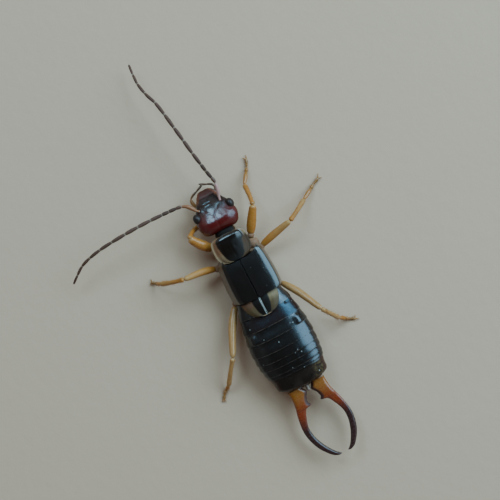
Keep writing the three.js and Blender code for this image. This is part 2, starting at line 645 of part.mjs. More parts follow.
ABDOMEN_MARGINS.slice(0, -1).forEach((start, index) => {
  const body = ring(start, ABDOMEN_MARGINS[index + 1] - RING_GAP);
  const shaped = index < THIGH_ROOM_RINGS ? body.subtract(thighRoom) : body;
  add(`abdomen_ring_${index + 1}`, shaped, MATERIALS.black_plate);
});

const lastRing = abdomenShape(LAST_RING_PLACES, ABDOMEN_HALF_WIDTH, ABDOMEN_TOP);
add("abdomen_last_ring", lastRing, MATERIALS.black_plate);
const tailPlate = block(steps(...TAIL_PLATE_SPAN, 2), level(TAIL_PLATE_HALF_WIDTH), TAIL_PLATE_HEIGHTS, {
  middle: TAIL_PLATE_CENTRE,
  sides: 10,
});
add("tail_plate", tailPlate, MATERIALS.skin);

// Pincers: one arm's edges serve both, and the pair leans a little to the right
function pincer(direction) {
  const count = PINCER_EDGES.length - 1;
  const rings = PINCER_EDGES.map(([outerX, outerBehind, innerX, innerBehind], index) => {
    const share = index / count;
    const lean = (behind) => PINCER_CENTRE + PINCER_LEAN * (behind - PINCER_ROOT);
    const z = PINCER_HEIGHT(share);
    const outer = spot([direction * outerX + lean(outerBehind), outerBehind, z]);
    const inner = spot([direction * innerX + lean(innerBehind), innerBehind, z]);
    const centre = outer.clone().add(inner).multiplyScalar(0.5);
    const side = outer.clone().sub(inner).normalize();
    const halfWidth = outer.distanceTo(inner) / 2;
    return section(centre, side, UP, halfWidth, PINCER_THICKNESS(share) / 2, PINCER_SIDES, PINCER_ROUNDNESS);
  });
  return loft(rings);
}

for (const [sideName, direction] of SIDES) add(`pincer_${sideName}`, pincer(direction), MATERIALS.pincer);

// The origin is on the floor, under the middle of the whole insect.
const reach = new THREE.Box3().setFromObject(earwig);
const centre = reach.getCenter(new THREE.Vector3());
earwig.position.set(-centre.x, -centre.y, -reach.min.z);

export default earwig;
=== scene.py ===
"""Looks of a life-size male earwig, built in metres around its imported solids.

Shapes are worked out in millimetres, with x to the insect's right, y minus the distance behind the
front of the upper lip, and z above the floor, and are moved to the frame as each piece is made.
Every point also carries its place on its own piece, which the piece's finish reads.
"""

import math
import random
from bisect import bisect_right

import bpy
from bpy.props import FloatProperty, FloatVectorProperty, IntProperty, PointerProperty
from bpy.types import Operator, Panel, PropertyGroup
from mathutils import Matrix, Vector


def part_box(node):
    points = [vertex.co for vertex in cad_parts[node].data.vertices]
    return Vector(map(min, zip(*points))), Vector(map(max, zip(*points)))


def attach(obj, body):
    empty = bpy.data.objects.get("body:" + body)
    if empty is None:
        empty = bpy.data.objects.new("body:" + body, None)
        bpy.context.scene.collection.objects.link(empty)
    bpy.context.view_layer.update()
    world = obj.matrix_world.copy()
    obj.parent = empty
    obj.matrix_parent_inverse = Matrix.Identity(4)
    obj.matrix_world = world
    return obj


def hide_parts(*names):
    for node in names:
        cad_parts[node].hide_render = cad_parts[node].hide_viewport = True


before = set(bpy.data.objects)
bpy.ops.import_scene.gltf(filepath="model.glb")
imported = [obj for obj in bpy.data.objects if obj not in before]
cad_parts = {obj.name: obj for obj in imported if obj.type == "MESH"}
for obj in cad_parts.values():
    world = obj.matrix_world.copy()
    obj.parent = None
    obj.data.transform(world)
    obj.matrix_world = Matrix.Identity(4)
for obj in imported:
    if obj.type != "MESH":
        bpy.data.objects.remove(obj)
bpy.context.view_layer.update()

bl_info = {
    "name": "Earwig",
    "version": (1, 0, 0),
    "blender": (4, 5, 0),
    "location": "View3D > Sidebar > Earwig",
    "description": "Builds the outer surfaces of a life-size earwig around its solids",
    "category": "Add Mesh",
}

MM = 0.001
UP = Vector((0, 0, 1))
SIDES = (("left", -1), ("right", 1))

HEAD_SHIFT = -0.04
LIP_LOW, LIP_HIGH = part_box("upper_lip")
MIDLINE = (LIP_LOW[0] + LIP_HIGH[0]) / 2 - HEAD_SHIFT * MM
FRONT = LIP_HIGH[1]
# The least share that a rounded end keeps of its width and a plate's rim of its thickness
NARROWEST = 0.03
THINNEST_RIM = 0.08


# Curves

def profile(*pairs):
    """A smooth curve through a few (place, value) pairs, held level past its ends."""
    places = [pair[0] for pair in pairs]
    values = [pair[1] for pair in pairs]
    last = len(pairs) - 1
    slopes = []
    for index in range(last + 1):
        before, after = max(index - 1, 0), min(index + 1, last)
        slopes.append((values[after] - values[before]) / (places[after] - places[before]))

    def value_at(place):
        place = min(max(place, places[0]), places[-1])
        index = min(bisect_right(places, place) - 1, last - 1)
        span = places[index + 1] - places[index]
        t = (place - places[index]) / span
        rise = values[index] * (1 + 2 * t) * (1 - t) ** 2 + values[index + 1] * t * t * (3 - 2 * t)
        turn = slopes[index] * t * (1 - t) ** 2 - slopes[index + 1] * t * t * (1 - t)
        return rise + turn * span

    return value_at


def blend(low, high, value):
    """0 below low, 1 above high, and a smooth rise between them."""
    t = min(max((value - low) / (high - low), 0), 1)
    return t * t * (3 - 2 * t)


def hump(distance, width):
    return math.exp(-((distance / width) ** 2))


def mix(a, b, share):
    return a + (b - a) * share


def even(count, start=0.0, end=1.0):
    return [mix(start, end, index / count) for index in range(count + 1)]


def crowded(count, start=0.0, end=1.0):
    """Places from start to end that lie closer together towards both ends."""
    return [mix(start, end, 0.5 - 0.5 * math.cos(math.pi * index / count)) for index in range(count + 1)]


def share_of(value, start, end):
    """Where a value lies between two others, from 0 at the first to 1 at the second."""
    return (value - start) / (end - start)


def spot(place):
    x, behind, z = place
    return Vector((x, -behind, z))


def mirrored(points):
    return [(-x, behind, z) for x, behind, z in points]


def scaled(shares, thickness):
    """A half width from its shares of a limb's thickness."""
    return lambda share: shares(share) * thickness


def around(along, angle):
    """The place of a point on a round piece: how far along it, and its angle's cosine and sine."""
    return along, math.cos(angle), math.sin(angle)


def oval(angle, power):
    """The cosine and sine of an angle, drawn out to a squarer oval as the power falls below 1."""
    cosine, sine = math.cos(angle), math.sin(angle)
    return math.copysign(abs(cosine) ** power, cosine), math.copysign(abs(sine) ** power, sine)


def rounding(share, start, end):
    """How far an end that is rounded over these shares of the length has opened, at most 1."""
    opened = 1.0
    if start and share < start:
        opened = math.sqrt(max(1 - (1 - share / start) ** 2, 0))
    if end and share > 1 - end:
        opened = min(opened, math.sqrt(max(1 - ((share - 1 + end) / end) ** 2, 0)))
    return max(opened, NARROWEST)


class Path:
    """A smooth line through points, measured from 0 to 1 along its length."""

    SAMPLES = 240

    def __init__(self, points):
        points = [spot(point) for point in points]
        knots = [0.0]
        for a, b in zip(points, points[1:]):
            knots.append(knots[-1] + math.sqrt((b - a).length))
        axes = [profile(*[(knot, point[axis]) for knot, point in zip(knots, points)]) for axis in range(3)]
        self.points = [Vector([axis(knot) for axis in axes]) for knot in even(self.SAMPLES, 0, knots[-1])]
        lengths = [0.0]
        for a, b in zip(self.points, self.points[1:]):
            lengths.append(lengths[-1] + (b - a).length)
        self.length = lengths[-1]
        self.shares = [length / self.length for length in lengths]

    def at(self, share):
        share = min(max(share, 0.0), 1.0)
        index = min(bisect_right(self.shares, share) - 1, self.SAMPLES - 1)
        a, b = self.shares[index], self.shares[index + 1]
        return self.points[index].lerp(self.points[index + 1], (share - a) / (b - a))

    def heading(self, share):
        step = 0.01
        return (self.at(share + step) - self.at(share - step)).normalized()


class Tube:
    """A limb round a path: half its width at each share of the length, and height over width."""

    def __init__(self, points, half_width, flatness=1.0, ends=(0, 0), relief=None):
        self.path = Path(points)
        self.half_width = half_width
        self.flatness = flatness
        self.ends = ends
        self.relief = relief

    def surface(self, share, angle):
        """A point on the skin, the way out of it there and the way along the limb."""
        heading = self.path.heading(share)
        side = heading.cross(UP).normalized()
        lift = side.cross(heading)
        wide = self.half_width(share) * rounding(share, *self.ends)
        out = side * math.cos(angle) + lift * math.sin(angle)
        if self.relief:
            wide += self.relief(share, angle)
        across = side * math.cos(angle) * wide
        return self.path.at(share) + across + lift * math.sin(angle) * wide * self.flatness, out, heading


# Meshes

class Shape:
    """The points and faces of one piece, and each point's place on the piece."""

    def __init__(self):
        self.points = []
        self.faces = []
        self.places = []

    def add(self, points, faces, places):
        """Joins a closed surface on, turned so that its faces point out."""
        volume = 0.0
        for face in faces:
            for second, third in zip(face[1:], face[2:]):
                volume += points[face[0]].dot(points[second].cross(points[third]))
        base = len(self.points)
        for face in faces:
            face = face if volume > 0 else face[::-1]
            self.faces.append([base + index for index in face])
        self.points += points
        self.places += places

    def skin(self, stops, sides, point_at):
        """A closed skin; point_at gives a point and its place for a stop and an angle."""
        points, places, faces = [], [], []
        for stop in stops:
            for side in range(sides):
                point, place = point_at(stop, 2 * math.pi * side / sides)
                points.append(point)
                places.append(place)
        last = (len(stops) - 1) * sides
        for first in range(0, last, sides):
            for side in range(sides):
                here, after = first + side, first + (side + 1) % sides
                faces.append([here, after, after + sides, here + sides])
        for first in (0, last):
            hub = len(points)
            points.append(sum(points[first:first + sides], Vector()) / sides)
            places.append(places[first])
            for side in range(sides):
                here, after = first + side, first + (side + 1) % sides
                faces.append([hub, after, here] if first == 0 else [hub, here, after])
        self.add(points, faces, places)

    def tube(self, limb, stops, sides=24, mark=around):
        """The skin of a limb, whose mark gives each point's place."""
        self.skin(stops, sides, lambda stop, angle: (limb.surface(stop, angle)[0], mark(stop, angle)))

    def plate(self, surface, columns, rows):
        """A curved plate; surface gives a point for a column, a row and a face, 0 outer and 1 inner."""
        places = [(column, row, face) for face in (0, 1) for row in rows for column in columns]
        points = [surface(*place) for place in places]
        wide, high = len(columns), len(rows)
        layer = wide * high
        faces = []
        for row in range(high - 1):
            for column in range(wide - 1):
                a = row * wide + column
                b, c, d = a + 1, a + wide, a + wide + 1
                faces.append([a, b, d, c])
                faces.append([layer + a, layer + c, layer + d, layer + b])
        border = list(range(wide - 1))
        border += [row * wide + wide - 1 for row in range(high - 1)]
        border += [(high - 1) * wide + column for column in range(wide - 1, 0, -1)]
        border += [row * wide for row in range(high - 1, 0, -1)]
        for here, after in zip(border, border[1:] + border[:1]):
            faces.append([after, here, layer + here, layer + after])
        self.add(points, faces, places)


def rim(share, width):
    """The thickness left near the edges of a plate, rounded over this share of its width."""
    edge = min(share, 1 - share) / width
    return 1.0 if edge >= 1 else max(math.sqrt(max(1 - (1 - edge) ** 2, 0)), THINNEST_RIM)


def add_piece(name, shape, finish, slot, *nodes):
    """Makes the object of a piece in the frame, riding on the insect and standing for its nodes."""
    mesh = bpy.data.meshes.new(name)
    points = [(MIDLINE + point.x * MM, FRONT + point.y * MM, point.z * MM) for point in shape.points]
    mesh.from_pydata(points, [], shape.faces)
    places = mesh.attributes.new("place", "FLOAT_VECTOR", "POINT")
    places.data.foreach_set("vector", [number for place in shape.places for number in place])
    mesh.polygons.foreach_set("use_smooth", [True] * len(mesh.polygons))
    mesh.update()
    piece = bpy.data.objects.new(name, mesh)
    bpy.context.scene.collection.objects.link(piece)
    mesh.materials.append(finish)
    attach(piece, "root")
    if nodes:
        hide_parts(*nodes)
    return piece


def section(centre_x, behind, low, high, half_width, angle, roundness, swell=0.0):
    """A point on the oval section of the trunk; the angle runs from the right over the back."""
    across, upward = oval(angle, 2 / roundness)
    half_height = (high - low) / 2
    x = centre_x + across * (half_width + swell)
    z = (low + high) / 2 + upward * (half_height + swell)
    return Vector((x, -behind, z))


# Shader arithmetic

class Value:
    """A shader socket that Python's operators can be used on where it is a number."""

    def __init__(self, nodes, socket):
        self.nodes = nodes
        self.socket = socket

    def math(self, operation, *terms):
        return self.nodes.node("ShaderNodeMath", {"operation": operation}, dict(enumerate(terms)))

    def __add__(self, other):
        return self.math("ADD", self, other)

    __radd__ = __add__

    def __sub__(self, other):
        return self.math("SUBTRACT", self, other)

    def __rsub__(self, other):
        return self.math("SUBTRACT", other, self)

    def __mul__(self, other):
        return self.math("MULTIPLY", self, other)

    __rmul__ = __mul__

    def __abs__(self):
        return self.math("ABSOLUTE", self)

    def most(self, other):
        """The larger of the two."""
        return self.math("MAXIMUM", self, other)


class Nodes:
    """The node tree of a material or the world, written as expressions."""

    def __init__(self, owner):
        owner.use_nodes = True
        self.tree = owner.node_tree
        self.tree.nodes.clear()

    def node(self, kind, settings, values, output=0):
        made = self.tree.nodes.new(kind)
        for key, value in settings.items():
            setattr(made, key, value)
        for key, value in values.items():
            if isinstance(value, Value):
                self.tree.links.new(value.socket, made.inputs[key])
            else:
                made.inputs[key].default_value = value
        return Value(self, made.outputs[output]) if made.outputs else None

    def rise(self, value, low, high):
        """0 where the value is at low, 1 at high, smoothly between; low may be the larger."""
        settings = {"interpolation_type": "SMOOTHSTEP", "clamp": True}
        values = {"Value": value, "From Min": low, "From Max": high}
        return self.node("ShaderNodeMapRange", settings, values)

    def mix(self, share, first, second):
        """A colour between two, each a colour or an earlier mix."""
        values = {0: share}
        for index, colour in ((6, first), (7, second)):
            values[index] = colour if isinstance(colour, Value) else (*colour, 1.0)
        return self.node("ShaderNodeMix", {"data_type": "RGBA"}, values, 2)


class Finish(Nodes):
    """One material: a Principled surface whose colour, roughness and relief are written as expressions."""

    LINKS = {"colour": "Base Color", "roughness": "Roughness", "coat": "Coat Weight", "normal": "Normal"}

    def __init__(self, name, uniform):
        self.material = bpy.data.materials.new(name)
        super().__init__(self.material)
        self.surface = self.tree.nodes.new("ShaderNodeBsdfPrincipled")
        output = self.tree.nodes.new("ShaderNodeOutputMaterial")
        self.tree.links.new(self.surface.outputs["BSDF"], output.inputs["Surface"])
        for socket, value in uniform.items():
            self.surface.inputs[socket].default_value = value
        metres = self.node("ShaderNodeTexCoord", {}, {}, "Object")
        self.millimetres = self.node(
            "ShaderNodeVectorMath", {"operation": "SCALE"}, {0: metres, "Scale": 1 / MM}, "Vector")

    def place(self):
        """The three numbers of each point's place on its piece."""
        vector = self.node("ShaderNodeAttribute", {"attribute_name": "place"}, {}, "Vector")
        split = self.node("ShaderNodeSeparateXYZ", {}, {0: vector})
        outputs = split.socket.node.outputs
        return [Value(self, outputs[axis]) for axis in "XYZ"]

    def noise(self, size, detail=3.0, roughness=0.5, vector=None):
        """Soft noise from 0 to 1 whose blots are about this many millimetres across."""
        values = {"Scale": 1 / size, "Detail": detail, "Roughness": roughness}
        values["Vector"] = vector or self.millimetres
        return self.node("ShaderNodeTexNoise", {}, values)

    def cells(self, size):
        """The distance from the middle of the nearest of many cells this many millimetres across."""
        values = {"Vector": self.millimetres, "Scale": 1 / size}
        return self.node("ShaderNodeTexVoronoi", {}, values, "Distance")

    def stretched(self, x, y, z):
        """The millimetres scaled along each axis, for grain that runs one way."""
        values = {0: self.millimetres, 1: (x, y, z)}
        return self.node("ShaderNodeVectorMath", {"operation": "MULTIPLY"}, values)

    def relief(self, height, depth, beneath=None):
        """A bump whose height of 1 stands this many millimetres proud, over an earlier bump."""
        values = {"Height": height, "Strength": 1.0, "Distance": depth * MM}
        if beneath:
            values["Normal"] = beneath
        return self.node("ShaderNodeBump", {}, values)

    def set(self, **links):
        for key, value in links.items():
            self.tree.links.new(value.socket, self.surface.inputs[self.LINKS[key]])
        return self.material


def lacquered(coat, shine=0.5, tint=(1.0, 1.0, 1.0), haze=0.12):
    """Uniform settings of hard insect skin with a thin clear outer layer, which haze makes duller."""
    return {
        "IOR": 1.52, "Specular IOR Level": shine, "Specular Tint": (*tint, 1.0),
        "Coat Weight": coat, "Coat Roughness": haze, "Coat IOR": 1.5,
    }


def translucent(weight):
    """Uniform settings of skin that lets a little light in."""
    return {"Subsurface Weight": weight, "Subsurface Scale": 0.2 * MM}


def dust(finish, sparse=0.4):
    """Pale specks, fewer as the second number rises."""
    specks = finish.rise(finish.cells(0.4), 0.1, 0.06)
    return specks * finish.rise(finish.noise(0.9, 1.0), sparse, sparse + 0.06)


def grain(finish, size, depth, beneath=None):
    """Fine leathery relief of rounded cells."""
    pits = finish.cells(size)
    soft = finish.noise(size * 3, 4.0, 0.6)
    return finish.relief(pits * 0.6 + soft, depth, beneath)


# Sizes and colours

def size_property(name, description, default, least, most):
    description = f"{description}, in millimetres"
    return FloatProperty(name=name, description=description, default=default, min=least, max=most)


def power_property(name, description, default):
    return FloatProperty(name=name, description=description, default=default, min=0, max=5, unit="POWER")


def colour_property(name, description, default):
    return FloatVectorProperty(
        name=name, description=description, subtype="COLOR", size=3, min=0.0, max=1.0, default=default)


class EarwigSizes(PropertyGroup):
    shin: size_property("Shin", "Half the thickness of a shin at its middle", 0.125, 0.05, 0.2)
    feeler: size_property("Feeler", "Half the thickness of a feeler's widest articles", 0.108, 0.05, 0.2)
    plate: size_property("Plate", "Thickness of the plates of the back", 0.05, 0.02, 0.1)
    lip: size_property("Ring lip", "How far each ring's hind margin stands over the next", 0.035, 0.0, 0.08)
    facet: size_property("Eye facet", "Distance between the facets of the eyes", 0.03, 0.015, 0.06)
    bristle: size_property("Bristle", "Length of the longest bristles of the legs", 0.13, 0.02, 0.3)
    down: IntProperty(
        name="Down", description="Number of fine hairs on each feeler", default=700, min=0, max=3000)


class EarwigColours(PropertyGroup):
    black: colour_property("Black", "Plates of the back", (0.0108, 0.0065, 0.0048))
    head_red: colour_property("Head red", "Back of the head", (0.102, 0.0088, 0.0075))
    head_dark: colour_property("Head dark", "Front of the head", (0.022, 0.006, 0.005))
    cheek: colour_property("Cheek", "Corners beside the upper lip", (0.21, 0.058, 0.02))
    flank: colour_property("Flank", "Redder sides of the rings", (0.045, 0.012, 0.008))
    horn: colour_property("Horn", "Pale margins of the neck shield and rings", (0.34, 0.21, 0.112))
    cover_edge: colour_property("Cover edge", "Side margin of the wing covers", (0.15, 0.092, 0.055))
    tail: colour_property("Tail plate", "Small plate between the pincers", (0.36, 0.25, 0.20))
    # Olive is also painted shade on the right of the neck shield's margin
    olive: colour_property("Olive", "Dull rear corners of the neck shield's margin", (0.046, 0.021, 0.008))
    # Tan is also painted as the sheen on the right of the last ring
    tan: colour_property("Tan", "Patches on the folded wing tips", (0.105, 0.068, 0.026))
    cream: colour_property("Cream", "Front of the patch on the right wing tip", (0.24, 0.165, 0.08))
    russet: colour_property("Russet", "Front of the patch on the left wing tip", (0.14, 0.062, 0.03))
    ring_sheen: colour_property("Ring sheen", "Tint of the light that the rings reflect", (0.7, 0.87, 1.0))
    blue_sheen: colour_property("Blue sheen", "Tint of what the second ring reflects", (0.3, 0.66, 0.9))
    suture: colour_property("Suture", "Line between the wing tips", (0.62, 0.62, 0.58))
    skin: colour_property("Skin", "Soft skin of the underside", (0.075, 0.036, 0.022))
    amber: colour_property("Amber", "Front thighs and shins, and all feet at the root", (0.44, 0.158, 0.026))
    straw: colour_property("Straw", "Hind thighs and shins", (0.44, 0.212, 0.07))
    hip: colour_property("Hip", "Hips beside the chest", (0.26, 0.135, 0.082))
    knee: colour_property("Knee", "Pale knees and joints", (0.44, 0.27, 0.12))
    foot: colour_property("Foot", "Feet", (0.26, 0.12, 0.035))
    pincer_root: colour_property("Pincer root", "Root of the pincers", (0.28, 0.083, 0.009))
    pincer_middle: colour_property("Pincer middle", "Middle of the pincers", (0.225, 0.034, 0.010))
    pincer_tip: colour_property("Pincer tip", "Tip of the pincers", (0.045, 0.016, 0.014))
    feeler: colour_property("Feeler", "Articles of the feelers", (0.118, 0.056, 0.04))
    feeler_root: colour_property("Feeler root", "First article of the feelers", (0.28, 0.10, 0.04))
    # Painted sheen: the right feeler's first article gets this paler, pinker colour for the light it catches
    # from the right
    feeler_painted_sheen: colour_property("Feeler sheen", "First article of the right feeler", (0.52, 0.27, 0.235))
    joint: colour_property("Joint", "Narrow joints of the feelers", (0.30, 0.23, 0.17))
    mouth: colour_property("Mouth", "Palps and jaws", (0.36, 0.15, 0.045))
    palp: colour_property("Palp", "Darker palp and feeler joints beside the mouth", (0.12, 0.06, 0.036))
    eye: colour_property("Eye", "Eyes", (0.03, 0.02, 0.018))
    floor: colour_property("Floor", "Pale floor", (0.61, 0.41, 0.28))
    far_floor: colour_property("Far floor", "Floor out of the windows' reach", (0.84, 0.80, 0.76))


class EarwigStage(PropertyGroup):
    lens: FloatProperty(
        name="Lens", description="Focal length of the camera, in millimetres", default=85.0, min=30, max=200)
    field: FloatProperty(
        name="Field", description="Width of the view at the insect", default=0.0275, min=0.01, max=0.1,
        unit="LENGTH")
    turn: FloatProperty(
        name="Turn", description="Angle that the picture is turned by", default=math.radians(-27.48),
        subtype="ANGLE")
    surroundings: colour_property("Surroundings", "Light from all round", (0.40, 0.37, 0.34))
    shaded_side: colour_property("Shaded side", "Light from the insect's left and rear", (0.17, 0.158, 0.147))
    overhead: colour_property("Overhead", "The shaded part straight above", (0.02, 0.02, 0.02))
    side_window: power_property("Side window", "Power of the light at the insect's right", 0.36)
    front_window: power_property("Front window", "Power of the light beyond the head", 0.098)
    corner_window: power_property("Corner window", "Power of the light at the front right corner", 0.08)
    bridge_window: power_property("Bridge window", "Power of the light from corner to front", 0.02)
    window_colour: colour_property("Window colour", "Cool light of the windows", (0.43, 0.77, 1.0))


# Head

HEAD_HALF_WIDTH = profile(
    (0.36, 0.55), (0.42, 0.6), (0.77, 0.8), (1.0, 0.94), (1.32, 1.06), (1.54, 1.16), (1.76, 1.2),
    (1.98, 1.175), (2.2, 1.09), (2.37, 0.97), (2.47, 0.8), (2.53, 0.55))
HEAD_TOP = profile(
    (0.36, 1.16), (0.42, 1.2), (0.7, 1.36), (0.95, 1.5), (1.15, 1.595), (1.4, 1.685), (1.65, 1.775),
    (1.83, 1.835), (2.0, 1.85), (2.3, 1.77), (2.53, 1.52))
HEAD_UNDERSIDE = profile((0.36, 1.02), (0.77, 0.86), (1.3, 0.74), (1.9, 0.72), (2.3, 0.8), (2.53, 0.98))
HEAD_SPAN = (0.37, 2.53)
HEAD_ROUNDNESS = 2.25
HEAD_SEAM = -0.06
NAPE_HOLLOW = 0.07
HEAD_TINT = (0.7, 0.95, 1.0)
LIP_ROUNDNESS = 2.4
LIP_NOTCH = 0.03
# Each plate's span, half width, least and greatest height, and how far its top falls
LIPS = (
    ((0.17, 0.44), profile((0.17, 0.43), (0.28, 0.53), (0.44, 0.6)), (0.98, 1.22), 0.1),
    ((0.0, 0.25), profile((0.0, 0.16), (0.02, 0.27), (0.06, 0.36), (0.14, 0.42), (0.25, 0.45)),
     (0.96, 1.13), 0.14),
)
EYE_CENTRE = (1.0, 1.32, 1.34)
EYE_RADII = (0.225, 0.29, 0.28)
EYE_RIM_RADII = (0.26, 0.36)
EYE_POLE = 0.02
FACET_DEPTH = 0.1
FACET_REACH = 0.55
ROW_SPACING = 0.87
FEELER_SOCKETS = ((-0.80, 0.90), (0.70, 0.84))


def head_relief(x, behind):
    """Seams, hollows and rims on the upper face of the head."""
    away = abs(x - HEAD_SEAM)
    stem = hump(away, 0.05) * blend(1.48, 1.58, behind)
    arm = hump(away - max(1.56 - behind, 0) * 0.95, 0.05)
    arm = arm * blend(1.0, 1.15, behind) * blend(1.62, 1.52, behind)
    hollows = hump(away - 0.42, 0.2) * hump(behind - 1.12, 0.16)
    nape = hump(behind - 2.3, 0.05) * blend(0.9, 0.5, away)
    brow = hump(x + 0.16, 0.18) * (0.014 * hump(behind - 0.86, 0.05) - 0.03 * hump(behind - 0.77, 0.035))
    rise = brow - 0.024 * stem - 0.016 * arm - 0.016 * hollows - 0.012 * nape
    to_eye = math.hypot(
        (away - EYE_CENTRE[0] - HEAD_SEAM) / EYE_RIM_RADII[0], (behind - EYE_CENTRE[1]) / EYE_RIM_RADII[1])
    rise += 0.008 * hump(to_eye - 1.0, 0.14)
    for socket_x, socket_behind in FEELER_SOCKETS:
        to_socket = math.hypot(x - socket_x, behind - socket_behind)
        rise += 0.006 * hump(to_socket - 0.2, 0.06) - 0.03 * hump(to_socket, 0.12)
    temple = 0.02 * hump(away - 0.62, 0.3) * hump(behind - 1.85, 0.3)
    return rise + temple


def head_finish(colours):
    finish = Finish("head_cuticle", lacquered(0.45, 0.42, HEAD_TINT))
    along, across, upward = finish.place()
    blots = finish.noise(0.35, 4.0, 0.55)
    redness = finish.rise(along + blots * 0.25 - 0.12, 0.26, 0.66)
    colour = finish.mix(redness, colours.head_dark, colours.head_red)
    cheeks = finish.rise(along + blots * 0.1, 0.2, 0.08) * finish.rise(abs(across), 0.6, 0.95)
    colour = finish.mix(cheeks, colour, colours.cheek)
    nape = finish.rise(along, 0.955, 0.995)
    colour = finish.mix(nape * 0.7, colour, colours.head_dark)
    underneath = finish.rise(upward, -0.1, -0.6)
    colour = finish.mix(underneath * 0.6, colour, colours.skin)
    roughness = finish.noise(0.12, 4.0, 0.6) * 0.12 + 0.17
    clouds = finish.rise(finish.noise(0.22, 2.0, 0.4), 0.37, 0.58)
    pores = finish.relief(finish.rise(finish.cells(0.055), 0.16, 0.05), -0.003)
    normal = grain(finish, 0.018, 0.0012, pores)
    coat = (clouds * 0.75 + 0.1) * (1 - finish.rise(across, 0.28, 0.5) * 0.75)
    return finish.set(colour=colour, roughness=roughness, coat=coat, normal=normal)


def lip_finish(colours):
    finish = Finish("lip_cuticle", lacquered(0.05, 0.25))
    across = finish.place()[1]
    edge = finish.rise(abs(across), 0.6, 0.95)
    colour = finish.mix(edge * 0.7 + 0.2, colours.head_dark, colours.cheek)
    colour = finish.mix(finish.noise(0.12) * 0.5, colour, colours.head_red)
    roughness = finish.noise(0.08) * 0.15 + 0.42
    return finish.set(colour=colour, roughness=roughness, normal=grain(finish, 0.02, 0.0015))


def eye_finish(colours):
    finish = Finish("eye_facets", lacquered(0.05, 0.24, haze=0.2))
    colour = finish.mix(finish.noise(0.2) * 0.5, colours.eye, colours.head_dark)
    roughness = finish.noise(0.05) * 0.1 + 0.3
    return finish.set(colour=colour, roughness=roughness, normal=grain(finish, 0.012, 0.0008))


def mouth_finish(colours, name, root, tip):
    finish = Finish(name, lacquered(0.08, 0.3))
    along = finish.place()[0]
    colour = finish.mix(finish.rise(along, 0.35, 0.75), root, tip)
    colour = finish.mix(finish.noise(0.15) * 0.3, colour, colours.head_dark)
    roughness = finish.noise(0.05) * 0.15 + 0.28
    return finish.set(colour=colour, roughness=roughness, normal=grain(finish, 0.02, 0.0015))


class EARWIG_OT_head(Operator):
    """Head capsule with its seams, feeler sockets and temples, and the two plates of the upper lip"""

    bl_idname = "earwig.head"
    bl_label = "Head"

    def execute(self, context):
        colours = context.scene.earwig_colours

        def capsule(behind, angle):
            along = share_of(behind, *HEAD_SPAN)
            low, high = HEAD_UNDERSIDE(behind), HEAD_TOP(behind)
            half_width = HEAD_HALF_WIDTH(behind) * rounding(along, 0.012, 0.03)
            point = section(HEAD_SHIFT, behind, low, high, half_width, angle, HEAD_ROUNDNESS)
            if math.sin(angle) > -0.2:
                out = Vector((math.cos(angle), 0, max(math.sin(angle), 0) + 0.15)).normalized()
                point += out * head_relief(point.x - HEAD_SHIFT, behind)
            hollow = NAPE_HOLLOW * hump(point.x - HEAD_SHIFT, 0.5) * blend(2.0, 2.5, behind)
            return point + Vector((0, hollow, 0)), around(along, angle)

        head = Shape()
        head.skin(crowded(110, *HEAD_SPAN), 160, capsule)
        add_piece("head", head, head_finish(colours), "head", "head_capsule")
        lips = Shape()
        for lip in LIPS:
            self.add_lip(lips, *lip)
        add_piece("upper_lip_plates", lips, lip_finish(colours), "head", "upper_lip")
        return {"FINISHED"}

    def add_lip(self, shape, span, half_width, heights, droop):
        """A rounded plate whose top falls towards the front."""
        low, high = heights

        def lip(behind, angle):
            along = share_of(behind, *span)
            swell = rounding(along, 0.3, 0.12)
            crest = high - droop * (1 - along) ** 1.5
            middle = mix(low, crest, 0.45)
            bottom, top = mix(middle, low, swell), mix(middle, crest, swell)
            point = section(HEAD_SHIFT, behind, bottom, top, half_width(behind), angle, LIP_ROUNDNESS)
            point.y -= LIP_NOTCH * hump(point.x - HEAD_SHIFT, 0.09) * (1 - along)
            return point, around(along, angle)

        shape.skin(crowded(26, *span), 64, lip)


class EARWIG_OT_eyes(Operator):
    """Compound eyes whose facets stand in rows"""

    bl_idname = "earwig.eyes"
    bl_label = "Eyes"

    def execute(self, context):
        facet = context.scene.earwig_sizes.facet
        finish = eye_finish(context.scene.earwig_colours)
        x, behind, z = EYE_CENTRE
        for name, direction in SIDES:
            centre = Vector((HEAD_SHIFT + direction * x, -behind, z))

            def facets(tilt, turn):
                round_axis = math.sin(tilt)
                out = Vector((round_axis * math.cos(turn), math.cos(tilt), round_axis * math.sin(turn)))
                domed = self.facet_height(tilt * EYE_RADII[1], turn * round_axis * EYE_RADII[2], facet)
                radii = [radius + FACET_DEPTH * facet * domed for radius in EYE_RADII]
                return centre + Vector([out[axis] * radii[axis] for axis in range(3)]), tuple(out)

            eye = Shape()
            eye.skin(even(96, EYE_POLE, math.pi - EYE_POLE), 150, facets)
            add_piece(f"eye_{name}_facets", eye, finish, "eye", f"eye_{name}")
        return {"FINISHED"}

    def facet_height(self, along, around_eye, facet):
        """1 at the middle of a facet and 0 at its edge, in rows set off by half a facet."""
        row = round(along / (facet * ROW_SPACING))
        shift = facet / 2 if row % 2 else 0
        near = round((around_eye - shift) / facet) * facet + shift
        distance = math.hypot(along - row * facet * ROW_SPACING, around_eye - near)
        return max(1 - (distance / (facet * FACET_REACH)) ** 2, 0)


# Mouth

JAW_PATH = [(0.5, 0.95, 0.86), (0.52, 0.6, 0.84), (0.45, 0.3, 0.86), (0.26, 0.11, 0.89), (0.06, 0.07, 0.9)]
JAW_HALF_WIDTH = profile((0, 0.16), (0.4, 0.14), (0.75, 0.09), (1, 0.03))
JAW_TOOTH_HALF_WIDTH = profile((0, 0.06), (1, 0.015))
CHIN_SPAN = (0.5, 1.4)
CHIN_HALF_WIDTH = profile((0.5, 0.18), (0.7, 0.3), (1.1, 0.36), (1.4, 0.3))
CHIN_ROUNDNESS = 2.6
